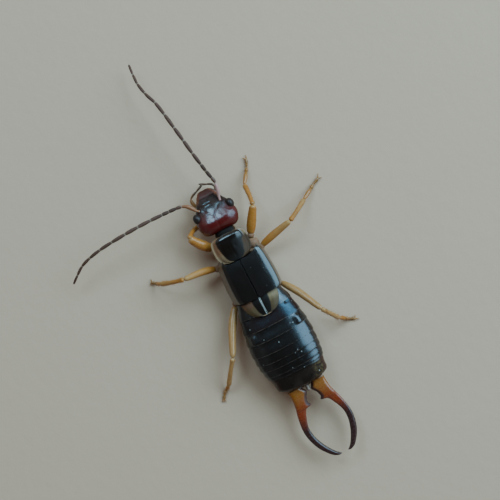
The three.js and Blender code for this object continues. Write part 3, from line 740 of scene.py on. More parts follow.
# Where its closed ends lie, and how far it swells down and up between them
CHIN_HEIGHTS = (0.56, 0.6)
CHIN_SWELL = (0.09, 0.16)
LOWER_PALP_PATH = [(0.14, 0.74, 0.56), (0.26, 0.42, 0.5), (0.31, 0.14, 0.47)]
LOWER_PALP_JOINTS = (0, 0.3, 0.62, 1)
LOWER_PALP_HALF_WIDTH = profile((0, 0.06), (1, 0.045))
PALP_PATHS = {
    "left": [
        (-0.5, 1.2, 0.76), (-0.85, 0.49, 0.68), (-0.82, 0.11, 0.7), (-0.22, -0.17, 0.78), (0.08, -0.3, 0.78)],
    "right": [
        (0.48, 1.2, 0.76), (0.63, 0.39, 0.62), (0.58, -0.06, 0.53), (0.19, -0.28, 0.43), (-0.11, -0.44, 0.4)],
}
PALP_JOINTS = (0, 0.16, 0.28, 0.53, 0.77, 1)
PALP_HALF_WIDTH = profile((0, 0.085), (0.4, 0.105), (0.6, 0.07), (0.95, 0.062), (1, 0.05))


def along_article(share, joints):
    """How far along its own article a share of the length lies."""
    index = min(max(bisect_right(joints, share) - 1, 0), len(joints) - 2)
    return share_of(share, joints[index], joints[index + 1])


def beaded(half_width, joints, waist, peak=0.6):
    """A half width that swells in each article and draws in to its waist at each joint."""
    def value_at(share):
        t = along_article(share, joints)
        t = t / (2 * peak) if t < peak else 1 - (1 - t) / (2 * (1 - peak))
        return half_width(share) * (waist + (1 - waist) * math.sin(math.pi * min(max(t, 0), 1)) ** 0.55)
    return value_at


def article_stops(joints, per_article):
    stops = [mix(a, b, step) for a, b in zip(joints, joints[1:]) for step in crowded(per_article)[:-1]]
    return stops + [joints[-1]]


def article_mark(joints):
    """Places for beaded limbs: how far along the article, its share of the limb, and the side."""
    return lambda stop, angle: (along_article(min(stop, 0.9999), joints), stop, math.sin(angle))


class EARWIG_OT_mouth(Operator):
    """Jaws, the long palps beside the mouth and the lower lip with its short palps"""

    bl_idname = "earwig.mouth"
    bl_label = "Mouth"

    def execute(self, context):
        colours = context.scene.earwig_colours
        jaw_finish = mouth_finish(colours, "jaw_cuticle", colours.cheek, colours.head_dark)
        lip_skin = mouth_finish(colours, "lower_lip_cuticle", colours.mouth, colours.palp)
        palp_finishes = {
            "left": mouth_finish(colours, "palp_cuticle", colours.mouth, colours.palp),
            "right": mouth_finish(colours, "dark_palp_cuticle", colours.palp, colours.palp),
        }
        for name, direction in SIDES:
            path = JAW_PATH if direction > 0 else mirrored(JAW_PATH)
            jaw = Shape()
            jaw.tube(Tube(path, JAW_HALF_WIDTH, 0.62, (0.02, 0.05)), crowded(40), 28)
            tooth = [path[3], tuple(mix(a, b, 0.8) for a, b in zip(path[3], path[4]))]
            tooth = [(x * 0.9, behind + 0.07, z - 0.02) for x, behind, z in tooth]
            jaw.tube(Tube(tooth, JAW_TOOTH_HALF_WIDTH, 0.7, (0.02, 0.1)), crowded(10), 14)
            add_piece(f"jaw_{name}_shell", jaw, jaw_finish, "mouth_parts", f"jaw_{name}")
            palp = Shape()
            limb = Tube(PALP_PATHS[name], beaded(PALP_HALF_WIDTH, PALP_JOINTS, 0.5), 1.0, (0, 0.04))
            palp.tube(limb, article_stops(PALP_JOINTS, 14))
            add_piece(f"palp_{name}_shell", palp, palp_finishes[name], "mouth_parts", f"palp_{name}")
        self.make_lower_lip(lip_skin)
        return {"FINISHED"}

    def make_lower_lip(self, finish):
        def chin(behind, angle):
            along = share_of(behind, *CHIN_SPAN)
            swell = rounding(along, 0.15, 0.15)
            low, high = CHIN_HEIGHTS[0] - CHIN_SWELL[0] * swell, CHIN_HEIGHTS[1] + CHIN_SWELL[1] * swell
            point = section(HEAD_SHIFT, behind, low, high, CHIN_HALF_WIDTH(behind), angle, CHIN_ROUNDNESS)
            return point, (along / 2, 0, 0)

        shape = Shape()
        shape.skin(crowded(24, *CHIN_SPAN), 40, chin)
        half_width = beaded(LOWER_PALP_HALF_WIDTH, LOWER_PALP_JOINTS, 0.55)
        for path in (LOWER_PALP_PATH, mirrored(LOWER_PALP_PATH)):
            shape.tube(Tube(path, half_width, 1.0, (0, 0.08)), article_stops(LOWER_PALP_JOINTS, 10), 18)
        add_piece("lower_lip_shell", shape, finish, "mouth_parts", "lower_lip")


# Feelers

FEELER_BASES = {
    "left": [
        (-0.72, 1.0, 1.38), (-0.9, 0.84, 1.42), (-1.07, 0.6, 1.5), (-1.29, 0.39, 1.52), (-1.57, 0.28, 1.47),
        (-1.83, 0.25, 1.42)],
    "right": [
        (0.55, 0.98, 1.38), (0.6, 0.71, 1.45), (0.7, 0.44, 1.55), (0.76, -0.06, 1.7), (0.7, -0.37, 1.755)],
}
WHIPS = {
    "left": [
        (-1.79, 0.25, 1.42), (-2.39, 0.22, 1.5), (-3.66, 0.2, 1.72), (-5.14, 0.25, 1.8), (-6.63, 0.37, 1.6),
        (-7.73, 0.63, 1.28), (-8.39, 1.04, 1.0), (-8.77, 1.32, 0.8)],
    "right": [
        (0.71, -0.33, 1.75), (0.6, -0.82, 1.82), (0.39, -2.04, 1.92), (0.17, -3.58, 1.9),
        (-0.11, -5.28, 1.66), (-0.36, -6.0, 1.5), (-0.52, -6.74, 1.28), (-0.52, -7.4, 1.05),
        (-0.47, -8.06, 0.8)],
}
BASE_JOINTS = (0, 0.74, 1)
BASE_SHARES = profile((0, 0.9), (0.12, 0.75), (0.4, 1.05), (0.7, 0.98), (0.8, 0.95), (1, 0.95))
WHIP_LENGTHS = (0.06, 0.055, 0.095, 0.105, 0.107, 0.115, 0.107, 0.1, 0.09, 0.08, 0.086)
WHIP_JOINTS = [sum(WHIP_LENGTHS[:count]) for count in range(len(WHIP_LENGTHS))] + [1.0]
WHIP_SHARES = profile((0, 0.95), (0.15, 0.98), (0.4, 1.0), (0.75, 0.84), (1, 0.6))


def feeler_finish(colours):
    finish = Finish("feeler_cuticle", lacquered(0.02, 0.18, haze=0.3))
    t, along, _ = finish.place()
    joint = finish.rise(t, 0.07, 0.0).most(finish.rise(t, 0.93, 1.0))
    blots = finish.noise(0.1)
    colour = finish.mix(finish.rise(along, 0.2, 0.1) * 0.35, colours.feeler, colours.black)
    colour = finish.mix(blots * 0.35, colour, colours.black)
    colour = finish.mix(joint, colour, colours.joint)
    roughness = blots * 0.15 + 0.42
    return finish.set(colour=colour, roughness=roughness, normal=grain(finish, 0.014, 0.002))


def feeler_base_finish(colours, name, root):
    finish = Finish(name, lacquered(0.15, 0.35))
    t, along, _ = finish.place()
    joint = finish.rise(t, 0.06, 0.0).most(finish.rise(t, 0.95, 1.0))
    colour = finish.mix(finish.rise(along, 0.7, 0.8), root, colours.feeler)
    colour = finish.mix(joint * 0.8, colour, colours.joint)
    roughness = finish.noise(0.08) * 0.15 + 0.3
    return finish.set(colour=colour, roughness=roughness, normal=grain(finish, 0.018, 0.0018))


def feeler_base(name, thickness):
    return Tube(FEELER_BASES[name], beaded(scaled(BASE_SHARES, thickness), BASE_JOINTS, 0.5, 0.5))


def whip(name, thickness):
    half_width = beaded(scaled(WHIP_SHARES, thickness), WHIP_JOINTS, 0.62)
    return Tube(WHIPS[name], half_width, 1.0, (0, 0.012))


class EARWIG_OT_feelers(Operator):
    """Feelers of two short and eleven spindle-shaped articles"""

    bl_idname = "earwig.feelers"
    bl_label = "Feelers"

    def execute(self, context):
        sizes, colours = context.scene.earwig_sizes, context.scene.earwig_colours
        finish = feeler_finish(colours)
        base_finishes = {
            "left": feeler_base_finish(colours, "feeler_base_cuticle", colours.feeler_root),
            # The right feeler's first article is painted with a sheen, the left's with its own colour
            "right": feeler_base_finish(colours, "pale_feeler_base_cuticle", colours.feeler_painted_sheen),
        }
        for name, _ in SIDES:
            base = Shape()
            limb = feeler_base(name, sizes.feeler)
            base.tube(limb, article_stops(BASE_JOINTS, 30), 32, article_mark(BASE_JOINTS))
            add_piece(f"feeler_{name}_root", base, base_finishes[name], "feeler_base", f"feeler_{name}_base")
            lash = Shape()
            limb = whip(name, sizes.feeler)
            lash.tube(limb, article_stops(WHIP_JOINTS, 16), 28, article_mark(WHIP_JOINTS))
            add_piece(f"feeler_{name}_articles", lash, finish, "feeler", f"feeler_{name}_whip")
        return {"FINISHED"}


# Neck shield

SHIELD_SPAN = (2.74, 4.28)
SHIELD_HALF_WIDTH = profile(
    (2.74, 0.5), (2.765, 0.7), (2.81, 0.85), (2.9, 0.96), (3.1, 1.03), (3.4, 1.06), (3.7, 1.05), (3.95, 0.98),
    (4.1, 0.87), (4.2, 0.69), (4.28, 0.42))
SHIELD_CROWN = profile((2.74, 1.72), (2.84, 1.79), (3.0, 1.83), (3.4, 1.855), (4.28, 1.86))
SHIELD_WIDEST = 1.07
SHIELD_SHIFT = -0.06
SHIELD_DROP = 0.34
SHIELD_DROP_POWER = 2.9


def shield_finish(colours):
    finish = Finish("neck_shield_cuticle", lacquered(0.4, 0.2))
    column, along, face = finish.place()
    across = abs(column * 2 - 1)
    wander = finish.noise(0.25) * 0.08 - 0.04
    boundary = across + finish.rise(along, 0.1, 0.9) * 0.16 + wander
    boundary = boundary - finish.rise(column, 0.5, 0.7) * finish.rise(along, 0.42, 0.28) * 0.16
    margin = finish.rise(boundary, 0.66, 0.75)
    pale = finish.mix(finish.noise(0.22) * 0.6, colours.horn, colours.cover_edge)
    inner_zone = finish.rise(across, 0.93, 0.84) * finish.rise(along, 0.75, 0.5)
    pale = finish.mix(inner_zone * 0.55, pale, colours.cheek)
    # From about a quarter of the way back the right side is made rougher and its margin painted olive, which
    # is painted shade; the olive at the rear of the margin is its own colour
    dull_and_painted_shade = finish.rise(column, 0.5, 0.64) * finish.rise(along, 0.2, 0.36)
    dull_and_painted_shade = (dull_and_painted_shade * 0.95).most(finish.rise(along, 0.6, 0.9) * 0.5)
    pale = finish.mix(dull_and_painted_shade, pale, colours.olive)
    colour = finish.mix(margin, colours.black, pale)
    collar = finish.rise(along, 0.035, 0.012) * finish.rise(across, 0.9, 0.6)
    colour = finish.mix(collar * 0.12, colour, colours.horn)
    inner = finish.rise(face, 0.3, 0.7)
    colour = finish.mix(inner * 0.7, colour, colours.skin)
    soft = margin.most(dull_and_painted_shade)
    roughness = finish.noise(0.1, 4.0, 0.6) * 0.1 + 0.15 + soft * 0.4
    crest = finish.rise(along, 0.02, 0.035) * finish.rise(along, 0.15, 0.13)
    coat = 0.5 - soft * 0.49 + crest * 0.5
    return finish.set(colour=colour, roughness=roughness, coat=coat, normal=grain(finish, 0.03, 0.0015))


class EARWIG_OT_neck_shield(Operator):
    """Neck shield with a furrowed black disc and pale, slightly upturned margins"""

    bl_idname = "earwig.neck_shield"
    bl_label = "Neck shield"

    def execute(self, context):
        thickness = context.scene.earwig_sizes.plate * 1.8

        def surface(column, row, face):
            behind = mix(*SHIELD_SPAN, row)
            share = column * 2 - 1
            x = share * SHIELD_HALF_WIDTH(behind)
            away = abs(share)
            drop = SHIELD_DROP * (abs(x) / SHIELD_WIDEST) ** SHIELD_DROP_POWER
            furrow = 0.010 * hump(x, 0.02) * blend(0.08, 0.2, row) * blend(0.98, 0.85, row)
            shoulders = 0.018 * hump(abs(x) - 0.45, 0.22) * hump(row - 0.3, 0.16)
            dents = 0.016 * hump(abs(x) - 0.22, 0.08) * hump(row - 0.5, 0.08)
            gutter = 0.035 * hump(away - 0.84, 0.08) * blend(0.0, 0.15, row)
            upturn = 0.05 * blend(0.88, 1.0, away) * blend(0.0, 0.15, row)
            collar = 0.010 * hump(row - 0.125, 0.045) * blend(1.0, 0.85, away)
            behind -= 0.04 * hump(x, 0.3) * hump(row, 0.1)
            z = SHIELD_CROWN(behind) - drop - furrow + shoulders - dents - gutter + upturn + collar
            thick = thickness * (1 + 0.8 * (1 - away * away)) * rim(column, 0.03) * rim(row, 0.03)
            return Vector((x + SHIELD_SHIFT, -behind, z - face * thick))

        shape = Shape()
        shape.plate(surface, crowded(110), crowded(96))
        add_piece("neck_shield", shape, shield_finish(context.scene.earwig_colours), "pronotum", "pronotum")
        return {"FINISHED"}


# Chest

CHEST_SPAN = (2.4, 6.9)
CHEST_HALF_WIDTH = profile(
    (2.4, 0.54), (2.6, 0.6), (2.85, 0.62), (3.05, 0.72), (3.6, 0.78), (3.95, 0.72), (4.12, 0.7), (4.35, 0.98),
    (4.8, 1.14), (5.6, 1.22), (6.5, 1.2), (6.9, 1.18))
CHEST_TOP = profile(
    (2.4, 1.46), (2.6, 1.53), (2.85, 1.53), (3.2, 1.44), (4.1, 1.48), (4.5, 1.6), (6.9, 1.66))
CHEST_UNDERSIDE = profile(
    (2.4, 0.92), (2.7, 0.84), (3.0, 0.56), (3.4, 0.46), (3.9, 0.5), (4.12, 0.56), (4.5, 0.44), (5.6, 0.42),
    (6.9, 0.42))
CHEST_ROUNDNESS = 2.3
# The underside's plates: each one's span, and half its angle at the front and the rear
BELLY_PLATES = (
    ((2.98, 3.42), 0.34, 0.55),
    ((3.46, 4.02), 0.42, 0.62),
    ((4.32, 5.16), 0.72, 0.9),
    ((5.22, 6.52), 0.66, 0.86),
)
FLANK_PLATES = ((3.1, 3.95), (4.4, 5.3), (5.4, 6.7))
FLANK_ANGLES = (-0.75, 0.35)
BELLY_PLATE_LIFT = 0.012
BELLY_PLATE_THICKNESS = 0.045
FLANK_PLATE_LIFT = 0.01
FLANK_PLATE_THICKNESS = 0.04


def chest_point(behind, angle, swell):
    low, high = CHEST_UNDERSIDE(behind), CHEST_TOP(behind)
    return section(0, behind, low, high, CHEST_HALF_WIDTH(behind), angle, CHEST_ROUNDNESS, swell)


def skin_finish(colours):
    finish = Finish("soft_skin", lacquered(0.02, 0.12, haze=0.35))
    top = finish.rise(finish.place()[2], 0.1, 0.7)
    folds = finish.noise(0.09, 4.0, 0.6, finish.stretched(0.35, 1.6, 0.35))
    colour = finish.mix(folds * 0.8, colours.skin, colours.black)
    colour = finish.mix(finish.noise(0.3) * 0.4, colour, colours.mouth)
    colour = finish.mix(top, colour, colours.black)
    roughness = folds * 0.15 + 0.28 + top * 0.25
    return finish.set(colour=colour, roughness=roughness, normal=finish.relief(folds, 0.006))


def plate_finish(colours):
    finish = Finish("chest_plate_cuticle", lacquered(0.25))
    column = finish.place()[0]
    colour = finish.mix(finish.noise(0.25), colours.skin, colours.head_dark)
    edge = finish.rise(abs(column * 2 - 1), 0.8, 1.0)
    colour = finish.mix(edge * 0.5, colour, colours.mouth)
    roughness = finish.noise(0.08) * 0.15 + 0.26
    return finish.set(colour=colour, roughness=roughness, normal=grain(finish, 0.03, 0.0025))


class EARWIG_OT_chest(Operator):
    """Neck and chest as one skin, with the plates of its underside"""

    bl_idname = "earwig.chest"
    bl_label = "Chest"

    def execute(self, context):
        colours = context.scene.earwig_colours

        def skin(behind, angle):
            along = share_of(behind, *CHEST_SPAN)
            folds = 0.012 * math.sin(behind * 34) * blend(3.0, 2.8, behind) * math.cos(angle) ** 2
            folds += 0.012 * math.sin(behind * 30) * hump(behind - 4.16, 0.14)
            swell = folds - 0.05 * (1 - rounding(along, 0.03, 0.02))
            return chest_point(behind, angle, swell), around(along, angle)

        chest = Shape()
        chest.skin(crowded(120, *CHEST_SPAN), 96, skin)
        add_piece("chest_skin", chest, skin_finish(colours), "soft_skin", "neck", "fore_chest", "hind_chest")

        plates = Shape()
        for span, front_angle, rear_angle in BELLY_PLATES:
            def belly(column, row, face):
                angle = -math.pi / 2 + (column * 2 - 1) * mix(front_angle, rear_angle, row)
                thick = BELLY_PLATE_THICKNESS * rim(column, 0.08) * rim(row, 0.08)
                keel = 0.015 * hump(column - 0.5, 0.03)
                swell = BELLY_PLATE_LIFT + (thick + keel) * (1 - face)
                return chest_point(mix(*span, row), angle, swell)

            plates.plate(belly, crowded(40), crowded(24))
        for _, direction in SIDES:
            for span in FLANK_PLATES:
                def flank(column, row, face):
                    angle = mix(*FLANK_ANGLES, column)
                    angle = angle if direction > 0 else math.pi - angle
                    thick = FLANK_PLATE_THICKNESS * rim(column, 0.1) * rim(row, 0.1)
                    groove = 0.012 * hump(row - 0.4 - 0.3 * column, 0.05)
                    swell = FLANK_PLATE_LIFT + (thick - groove) * (1 - face)
                    return chest_point(mix(*span, row), angle, swell)

                plates.plate(flank, crowded(24), crowded(28))
        add_piece("chest_plates", plates, plate_finish(colours), "soft_skin")
        return {"FINISHED"}


# Wing covers and folded wing tips

COVER_SUTURE = 0.018
COVER_FRONT = 4.34
COVER_SHOULDER = 3.93
COVER_REAR = 6.65
COVER_HALF_WIDTH = profile(
    (3.93, 1.14), (4.05, 1.27), (4.2, 1.36), (4.8, 1.45), (5.7, 1.5), (6.3, 1.48), (6.5, 1.43), (6.74, 1.3))
COVER_CROWN = profile((3.93, 1.86), (4.36, 1.93), (4.9, 1.99), (6.0, 2.035), (6.84, 2.04))
COVER_EDGE = 1.2
# How far across and how far down a cover has gone at each share of its width
COVER_REACH = profile((0, 0.0), (0.3, 0.39), (0.55, 0.68), (0.7, 0.83), (0.8, 0.915), (0.9, 0.975), (1, 1.0))
COVER_FALL = profile((0, 0.0), (0.3, 0.03), (0.55, 0.09), (0.7, 0.19), (0.8, 0.36), (0.9, 0.66), (1, 1.0))
COVER_KEEL = 0.74
COVER_KEEL_HEIGHT = 0.022
COVER_LEAN = {"left": 0.15, "right": 0.04}
COVER_SHIFT = 0.04
COVER_TINT = (0.86, 0.95, 1.0)
TIP_SPAN = (6.42, 7.67)
TIP_HALF_WIDTH = profile(
    (6.42, 1.14), (6.82, 1.08), (7.02, 1.02), (7.27, 0.89), (7.44, 0.74), (7.56, 0.57), (7.64, 0.38),
    (7.67, 0.24))
TIP_WIDEST = 1.14
TIP_CROWN = 1.95
TIP_DROP = 0.3
TIP_THICKNESS = 0.11


def cover_finish(colours):
    finish = Finish("wing_cover_cuticle", lacquered(0.35, 0.56, COVER_TINT))
    column, _, face = finish.place()
    margin = finish.rise(column + finish.noise(0.2) * 0.03, 0.765, 0.81)
    edge = finish.mix(finish.noise(0.18, 4.0) * 0.7, colours.cover_edge, colours.flank)
    colour = finish.mix(margin, colours.black, edge)
    inner = finish.rise(face, 0.3, 0.7)
    colour = finish.mix(inner * 0.8, colour, colours.cover_edge)
    colour = finish.mix(dust(finish) * 0.12, colour, colours.suture)
    roughness = finish.noise(0.09, 5.0, 0.65) * 0.12 + 0.18 + margin * 0.15
    wrinkles = finish.noise(0.1, vector=finish.stretched(1.0, 0.3, 1.0))
    soft = finish.relief(wrinkles, 0.004)
    return finish.set(colour=colour, roughness=roughness, normal=grain(finish, 0.03, 0.002, soft))


def tip_finish(colours, name, front):
    """Folded wing with a pale patch, which starts with this colour."""
    finish = Finish(name, lacquered(0.03, 0.22))
    column, row, _ = finish.place()
    wander = finish.noise(0.2) * 0.08 - 0.04
    patch = finish.rise(column + wander, 0.40, 0.47) * finish.rise(column + wander, 1.02, 0.95)
    patch = patch * finish.rise(row + wander, 0.12, 0.2) * finish.rise(row, 0.97, 0.88)
    pale = finish.mix(finish.rise(row + wander * 2, 0.3, 0.6), front, colours.tan)
    pale = finish.mix(finish.noise(0.14, 4.0) * 0.5, pale, colours.flank)
    pale = finish.mix(finish.rise(row, 0.55, 0.9) * 0.5, pale, colours.olive)
    colour = finish.mix(patch, colours.black, pale)
    rear = finish.rise(row, 0.94, 0.98) * finish.rise(column + wander, 0.75, 0.45) * 0.7
    colour = finish.mix(rear, colour, colours.horn)
    line = finish.rise(column, 0.024, 0.012) * finish.rise(row, 0.15, 0.2)
    colour = finish.mix(line, colour, colours.suture)
    roughness = finish.noise(0.08) * 0.15 + 0.26 + patch * 0.25
    pleats = finish.noise(0.05, 2.0, 0.5, finish.stretched(1.0, 0.25, 1.0))
    return finish.set(colour=colour, roughness=roughness, normal=finish.relief(pleats, 0.004))


class EARWIG_OT_wing_covers(Operator):
    """Leathery wing covers with a keel along each side and a turned-down brown margin"""

    bl_idname = "earwig.wing_covers"
    bl_label = "Wing covers"

    def execute(self, context):
        finish = cover_finish(context.scene.earwig_colours)
        thickness = context.scene.earwig_sizes.plate * 1.6
        for name, direction in SIDES:
            def surface(column, row, face):
                front = mix(COVER_FRONT, COVER_SHOULDER, blend(0.25, 0.95, column))
                rear = COVER_REAR - 0.18 * column ** 1.6 - 0.1 * blend(0.8, 1.0, column)
                behind = mix(front, rear, row)
                thick = thickness * rim(column, 0.02) * rim(row, 0.02)
                reach = COVER_HALF_WIDTH(behind) - COVER_SUTURE
                drop = COVER_CROWN(behind) - COVER_EDGE
                lean = (COVER_LEAN[name] * hump(column - 0.76, 0.2) + COVER_SHIFT * column) * direction
                x = COVER_SUTURE + COVER_REACH(column) * reach + lean
                z = COVER_CROWN(behind) - COVER_FALL(column) * drop
                keel = hump(column - COVER_KEEL, 0.03) * blend(0.0, 0.08, row) * COVER_KEEL_HEIGHT
                shoulder = 0.012 * hump(column - 0.6, 0.12) * hump(row - 0.08, 0.1)
                seam = 0.003 * hump(column, 0.02)
                ripple = 0.003 * math.sin(11 * row + 7 * column) * rim(column, 0.2)
                rise = keel + shoulder - seam + ripple - face * thick
                slope = blend(0.6, 0.95, column)
                return Vector((direction * (x + rise * slope), -behind, z + rise * (1 - slope)))

            shape = Shape()
            shape.plate(surface, crowded(90), crowded(90))
            add_piece(f"wing_cover_{name}_leather", shape, finish, "wing_cover", f"wing_cover_{name}")
        return {"FINISHED"}


class EARWIG_OT_wing_tips(Operator):
    """The two pads of folded wing that reach out behind the covers"""

    bl_idname = "earwig.wing_tips"
    bl_label = "Wing tips"

    def execute(self, context):
        colours = context.scene.earwig_colours
        fronts = {"left": colours.russet, "right": colours.cream}
        for name, direction in SIDES:
            def surface(column, row, face):
                behind = mix(*TIP_SPAN, row)
                x = COVER_SUTURE + column * (TIP_HALF_WIDTH(behind) - COVER_SUTURE)
                crown = TIP_CROWN + 0.06 * blend(0.0, 0.5, row)
                fall = TIP_DROP * (x / TIP_WIDEST) ** 2.2
                pad = 0.04 * hump(column - 0.72, 0.2) * blend(0.1, 0.4, row)
                fold = 0.003 * hump(column - 0.44, 0.04)
                seam = 0.02 * hump(column, 0.05)
                thick = TIP_THICKNESS * rim(column, 0.05) * rim(row, 0.05)
                z = crown - fall + pad - fold - seam - face * thick
                return Vector((direction * x, -behind, z))

            finish = tip_finish(colours, f"wing_tip_cuticle_{name}", fronts[name])
            shape = Shape()
            shape.plate(surface, crowded(56), crowded(60))
            add_piece(f"wing_tip_{name}_pad", shape, finish, "wing_tip", f"wing_tip_{name}")
        return {"FINISHED"}


# Abdomen

MARGINS = (6.78, 7.5, 8.295, 8.97, 9.67, 10.16, 10.54, 10.93, 11.13)
ABDOMEN_HALF_WIDTH = profile(
    (6.6, 1.36), (6.82, 1.42), (7.15, 1.54), (7.54, 1.63), (8.09, 1.73), (8.63, 1.82), (9.19, 1.87),
    (9.73, 1.86), (10.29, 1.82), (10.84, 1.72), (11.28, 1.56), (11.7, 1.52), (11.82, 1.44), (11.92, 1.27),
    (12.03, 0.98), (12.14, 0.5))
ABDOMEN_TOP = profile(
    (6.6, 1.85), (6.82, 1.87), (7.54, 1.955), (8.2, 2.04), (8.8, 2.11), (9.3, 2.165), (9.8, 2.2),
    (10.3, 2.17), (11.2, 2.0), (11.8, 1.82), (12.0, 1.68), (12.14, 1.42))
ABDOMEN_UNDERSIDE = profile(
    (6.6, 0.42), (6.82, 0.42), (8.1, 0.32), (9.7, 0.28), (11.0, 0.36), (11.8, 0.5), (12.14, 0.78))
ABDOMEN_LEAN = 0.05
ABDOMEN_ROUNDNESS = 2.4
BACK_HALF_ANGLE = math.radians(104)
BELLY_HALF_ANGLE = math.radians(78)
RING_TUCK = 0.13
RING_BOW = 0.22
BACK_TUCK_DEPTH = 0.014
BELLY_TUCK_DEPTH = 0.045
BELLY_SETBACK = 0.06
# Rings that carry a gland on each side, counted from 0, and each gland's share of the full height
GLANDS = {1: 0.2, 2: 1.0}
GLAND_HEIGHT = 0.07
HOLLOW_RING = 1
HOLLOW_DEPTH = 0.055
# The last rings of a male have no belly plates of their own
BELLY_RINGS = len(MARGINS) - 3
INNER_SKIN_SPAN = (6.6, 11.6)
INNER_SKIN_DEPTH = 0.075
LAST_RING_SPAN = (MARGINS[-1] - 0.32, 12.14)
LAST_BELLY_SPAN = (10.2, 11.75)
LAST_BELLY_BOW = 0.35
TAIL_SPAN = (12.06, 12.5)
TAIL_CENTRE = 0.09
TAIL_HALF_WIDTH = 0.135
TAIL_MIDDLE = 1.02
# How far it swells down and up from its middle
TAIL_SWELL = (0.22, 0.24)
TAIL_ROUNDNESS = 2.6


def abdomen_point(behind, angle, swell):
    """A point at this angle from the middle of the back, positive to the right."""
    middle = ABDOMEN_LEAN * blend(9.8, 11.4, behind)
    low, high, half_width = ABDOMEN_UNDERSIDE(behind), ABDOMEN_TOP(behind), ABDOMEN_HALF_WIDTH(behind)
    return section(middle, behind, low, high, half_width, math.pi / 2 - angle, ABDOMEN_ROUNDNESS, swell)


def around_back(along, angle):
    """The place of a point whose angle is taken from the middle of the back."""
    return along, math.sin(angle), math.cos(angle)


def pitted(finish, size, depth):
    """Fine grain over pits this many millimetres apart."""
    pits = finish.relief(finish.rise(finish.cells(size), 0.2, 0.06), -depth)
    return grain(finish, 0.02, 0.0018, pits)


def ring_finish(colours, name, sheen, coat, warmth=0.0):
    """Near-black rings: column 0 to 1 from side to side, row 0 to 1 from front to hind margin."""
    finish = Finish(name, lacquered(coat, 0.56, sheen, 0.16))
    column, row, face = finish.place()
    away = abs(column * 2 - 1)
    blots = finish.noise(0.4, 4.0, 0.55)
    flank = finish.rise(away + blots * 0.2, 0.62, 1.05)
    colour = finish.mix(flank + warmth, colours.black, colours.flank)
    lip = finish.rise(row + finish.noise(0.05) * 0.02, 0.965, 0.99)
    broken = finish.rise(finish.noise(0.16), 0.4, 0.66) * 0.2 + 0.05
    colour = finish.mix(lip * broken, colour, colours.tail)
    specks = dust(finish)
    colour = finish.mix(specks * 0.45, colour, colours.suture)
    inner = finish.rise(face, 0.3, 0.7)
    colour = finish.mix(inner * 0.6, colour, colours.skin)
    roughness = finish.noise(0.07, 5.0, 0.65) * 0.12 + 0.15 + specks * 0.3
    return finish.set(colour=colour, roughness=roughness, normal=pitted(finish, 0.075, 0.006))


def last_ring_finish(colours):
    finish = Finish("last_ring_cuticle", lacquered(0.12, 0.35, haze=0.16))
    along, across, upward = finish.place()
    blots = finish.noise(0.3, 4.0)
    rear = finish.rise(along + blots * 0.12, 0.85, 1.05) * 0.5
    flank = finish.rise(abs(across) + blots * 0.15, 0.8, 1.05)
    colour = finish.mix(rear.most(flank), colours.black, colours.flank)
    under = finish.rise(upward, -0.2, -0.6) * 0.7
    colour = finish.mix(under, colour, colours.flank)
    # Painted sheen: a tan patch high on the right of the last ring stands for a reflection there
    sheen = finish.rise(across, 0.38, 0.55) * finish.rise(across, 0.92, 0.8)
    sheen = sheen * finish.rise(along, 0.24, 0.36) * finish.rise(along, 0.9, 0.75)
    sheen = sheen * finish.rise(upward, 0.1, 0.4) * finish.rise(finish.noise(0.14), 0.38, 0.65)
    colour = finish.mix(sheen * 0.75, colour, colours.tan)
    specks = dust(finish, 0.15)
    colour = finish.mix(specks * 0.6, colour, colours.suture)
    roughness = finish.noise(0.07, 5.0, 0.65) * 0.12 + 0.17 + specks * 0.3
    return finish.set(colour=colour, roughness=roughness, normal=pitted(finish, 0.085, 0.007))


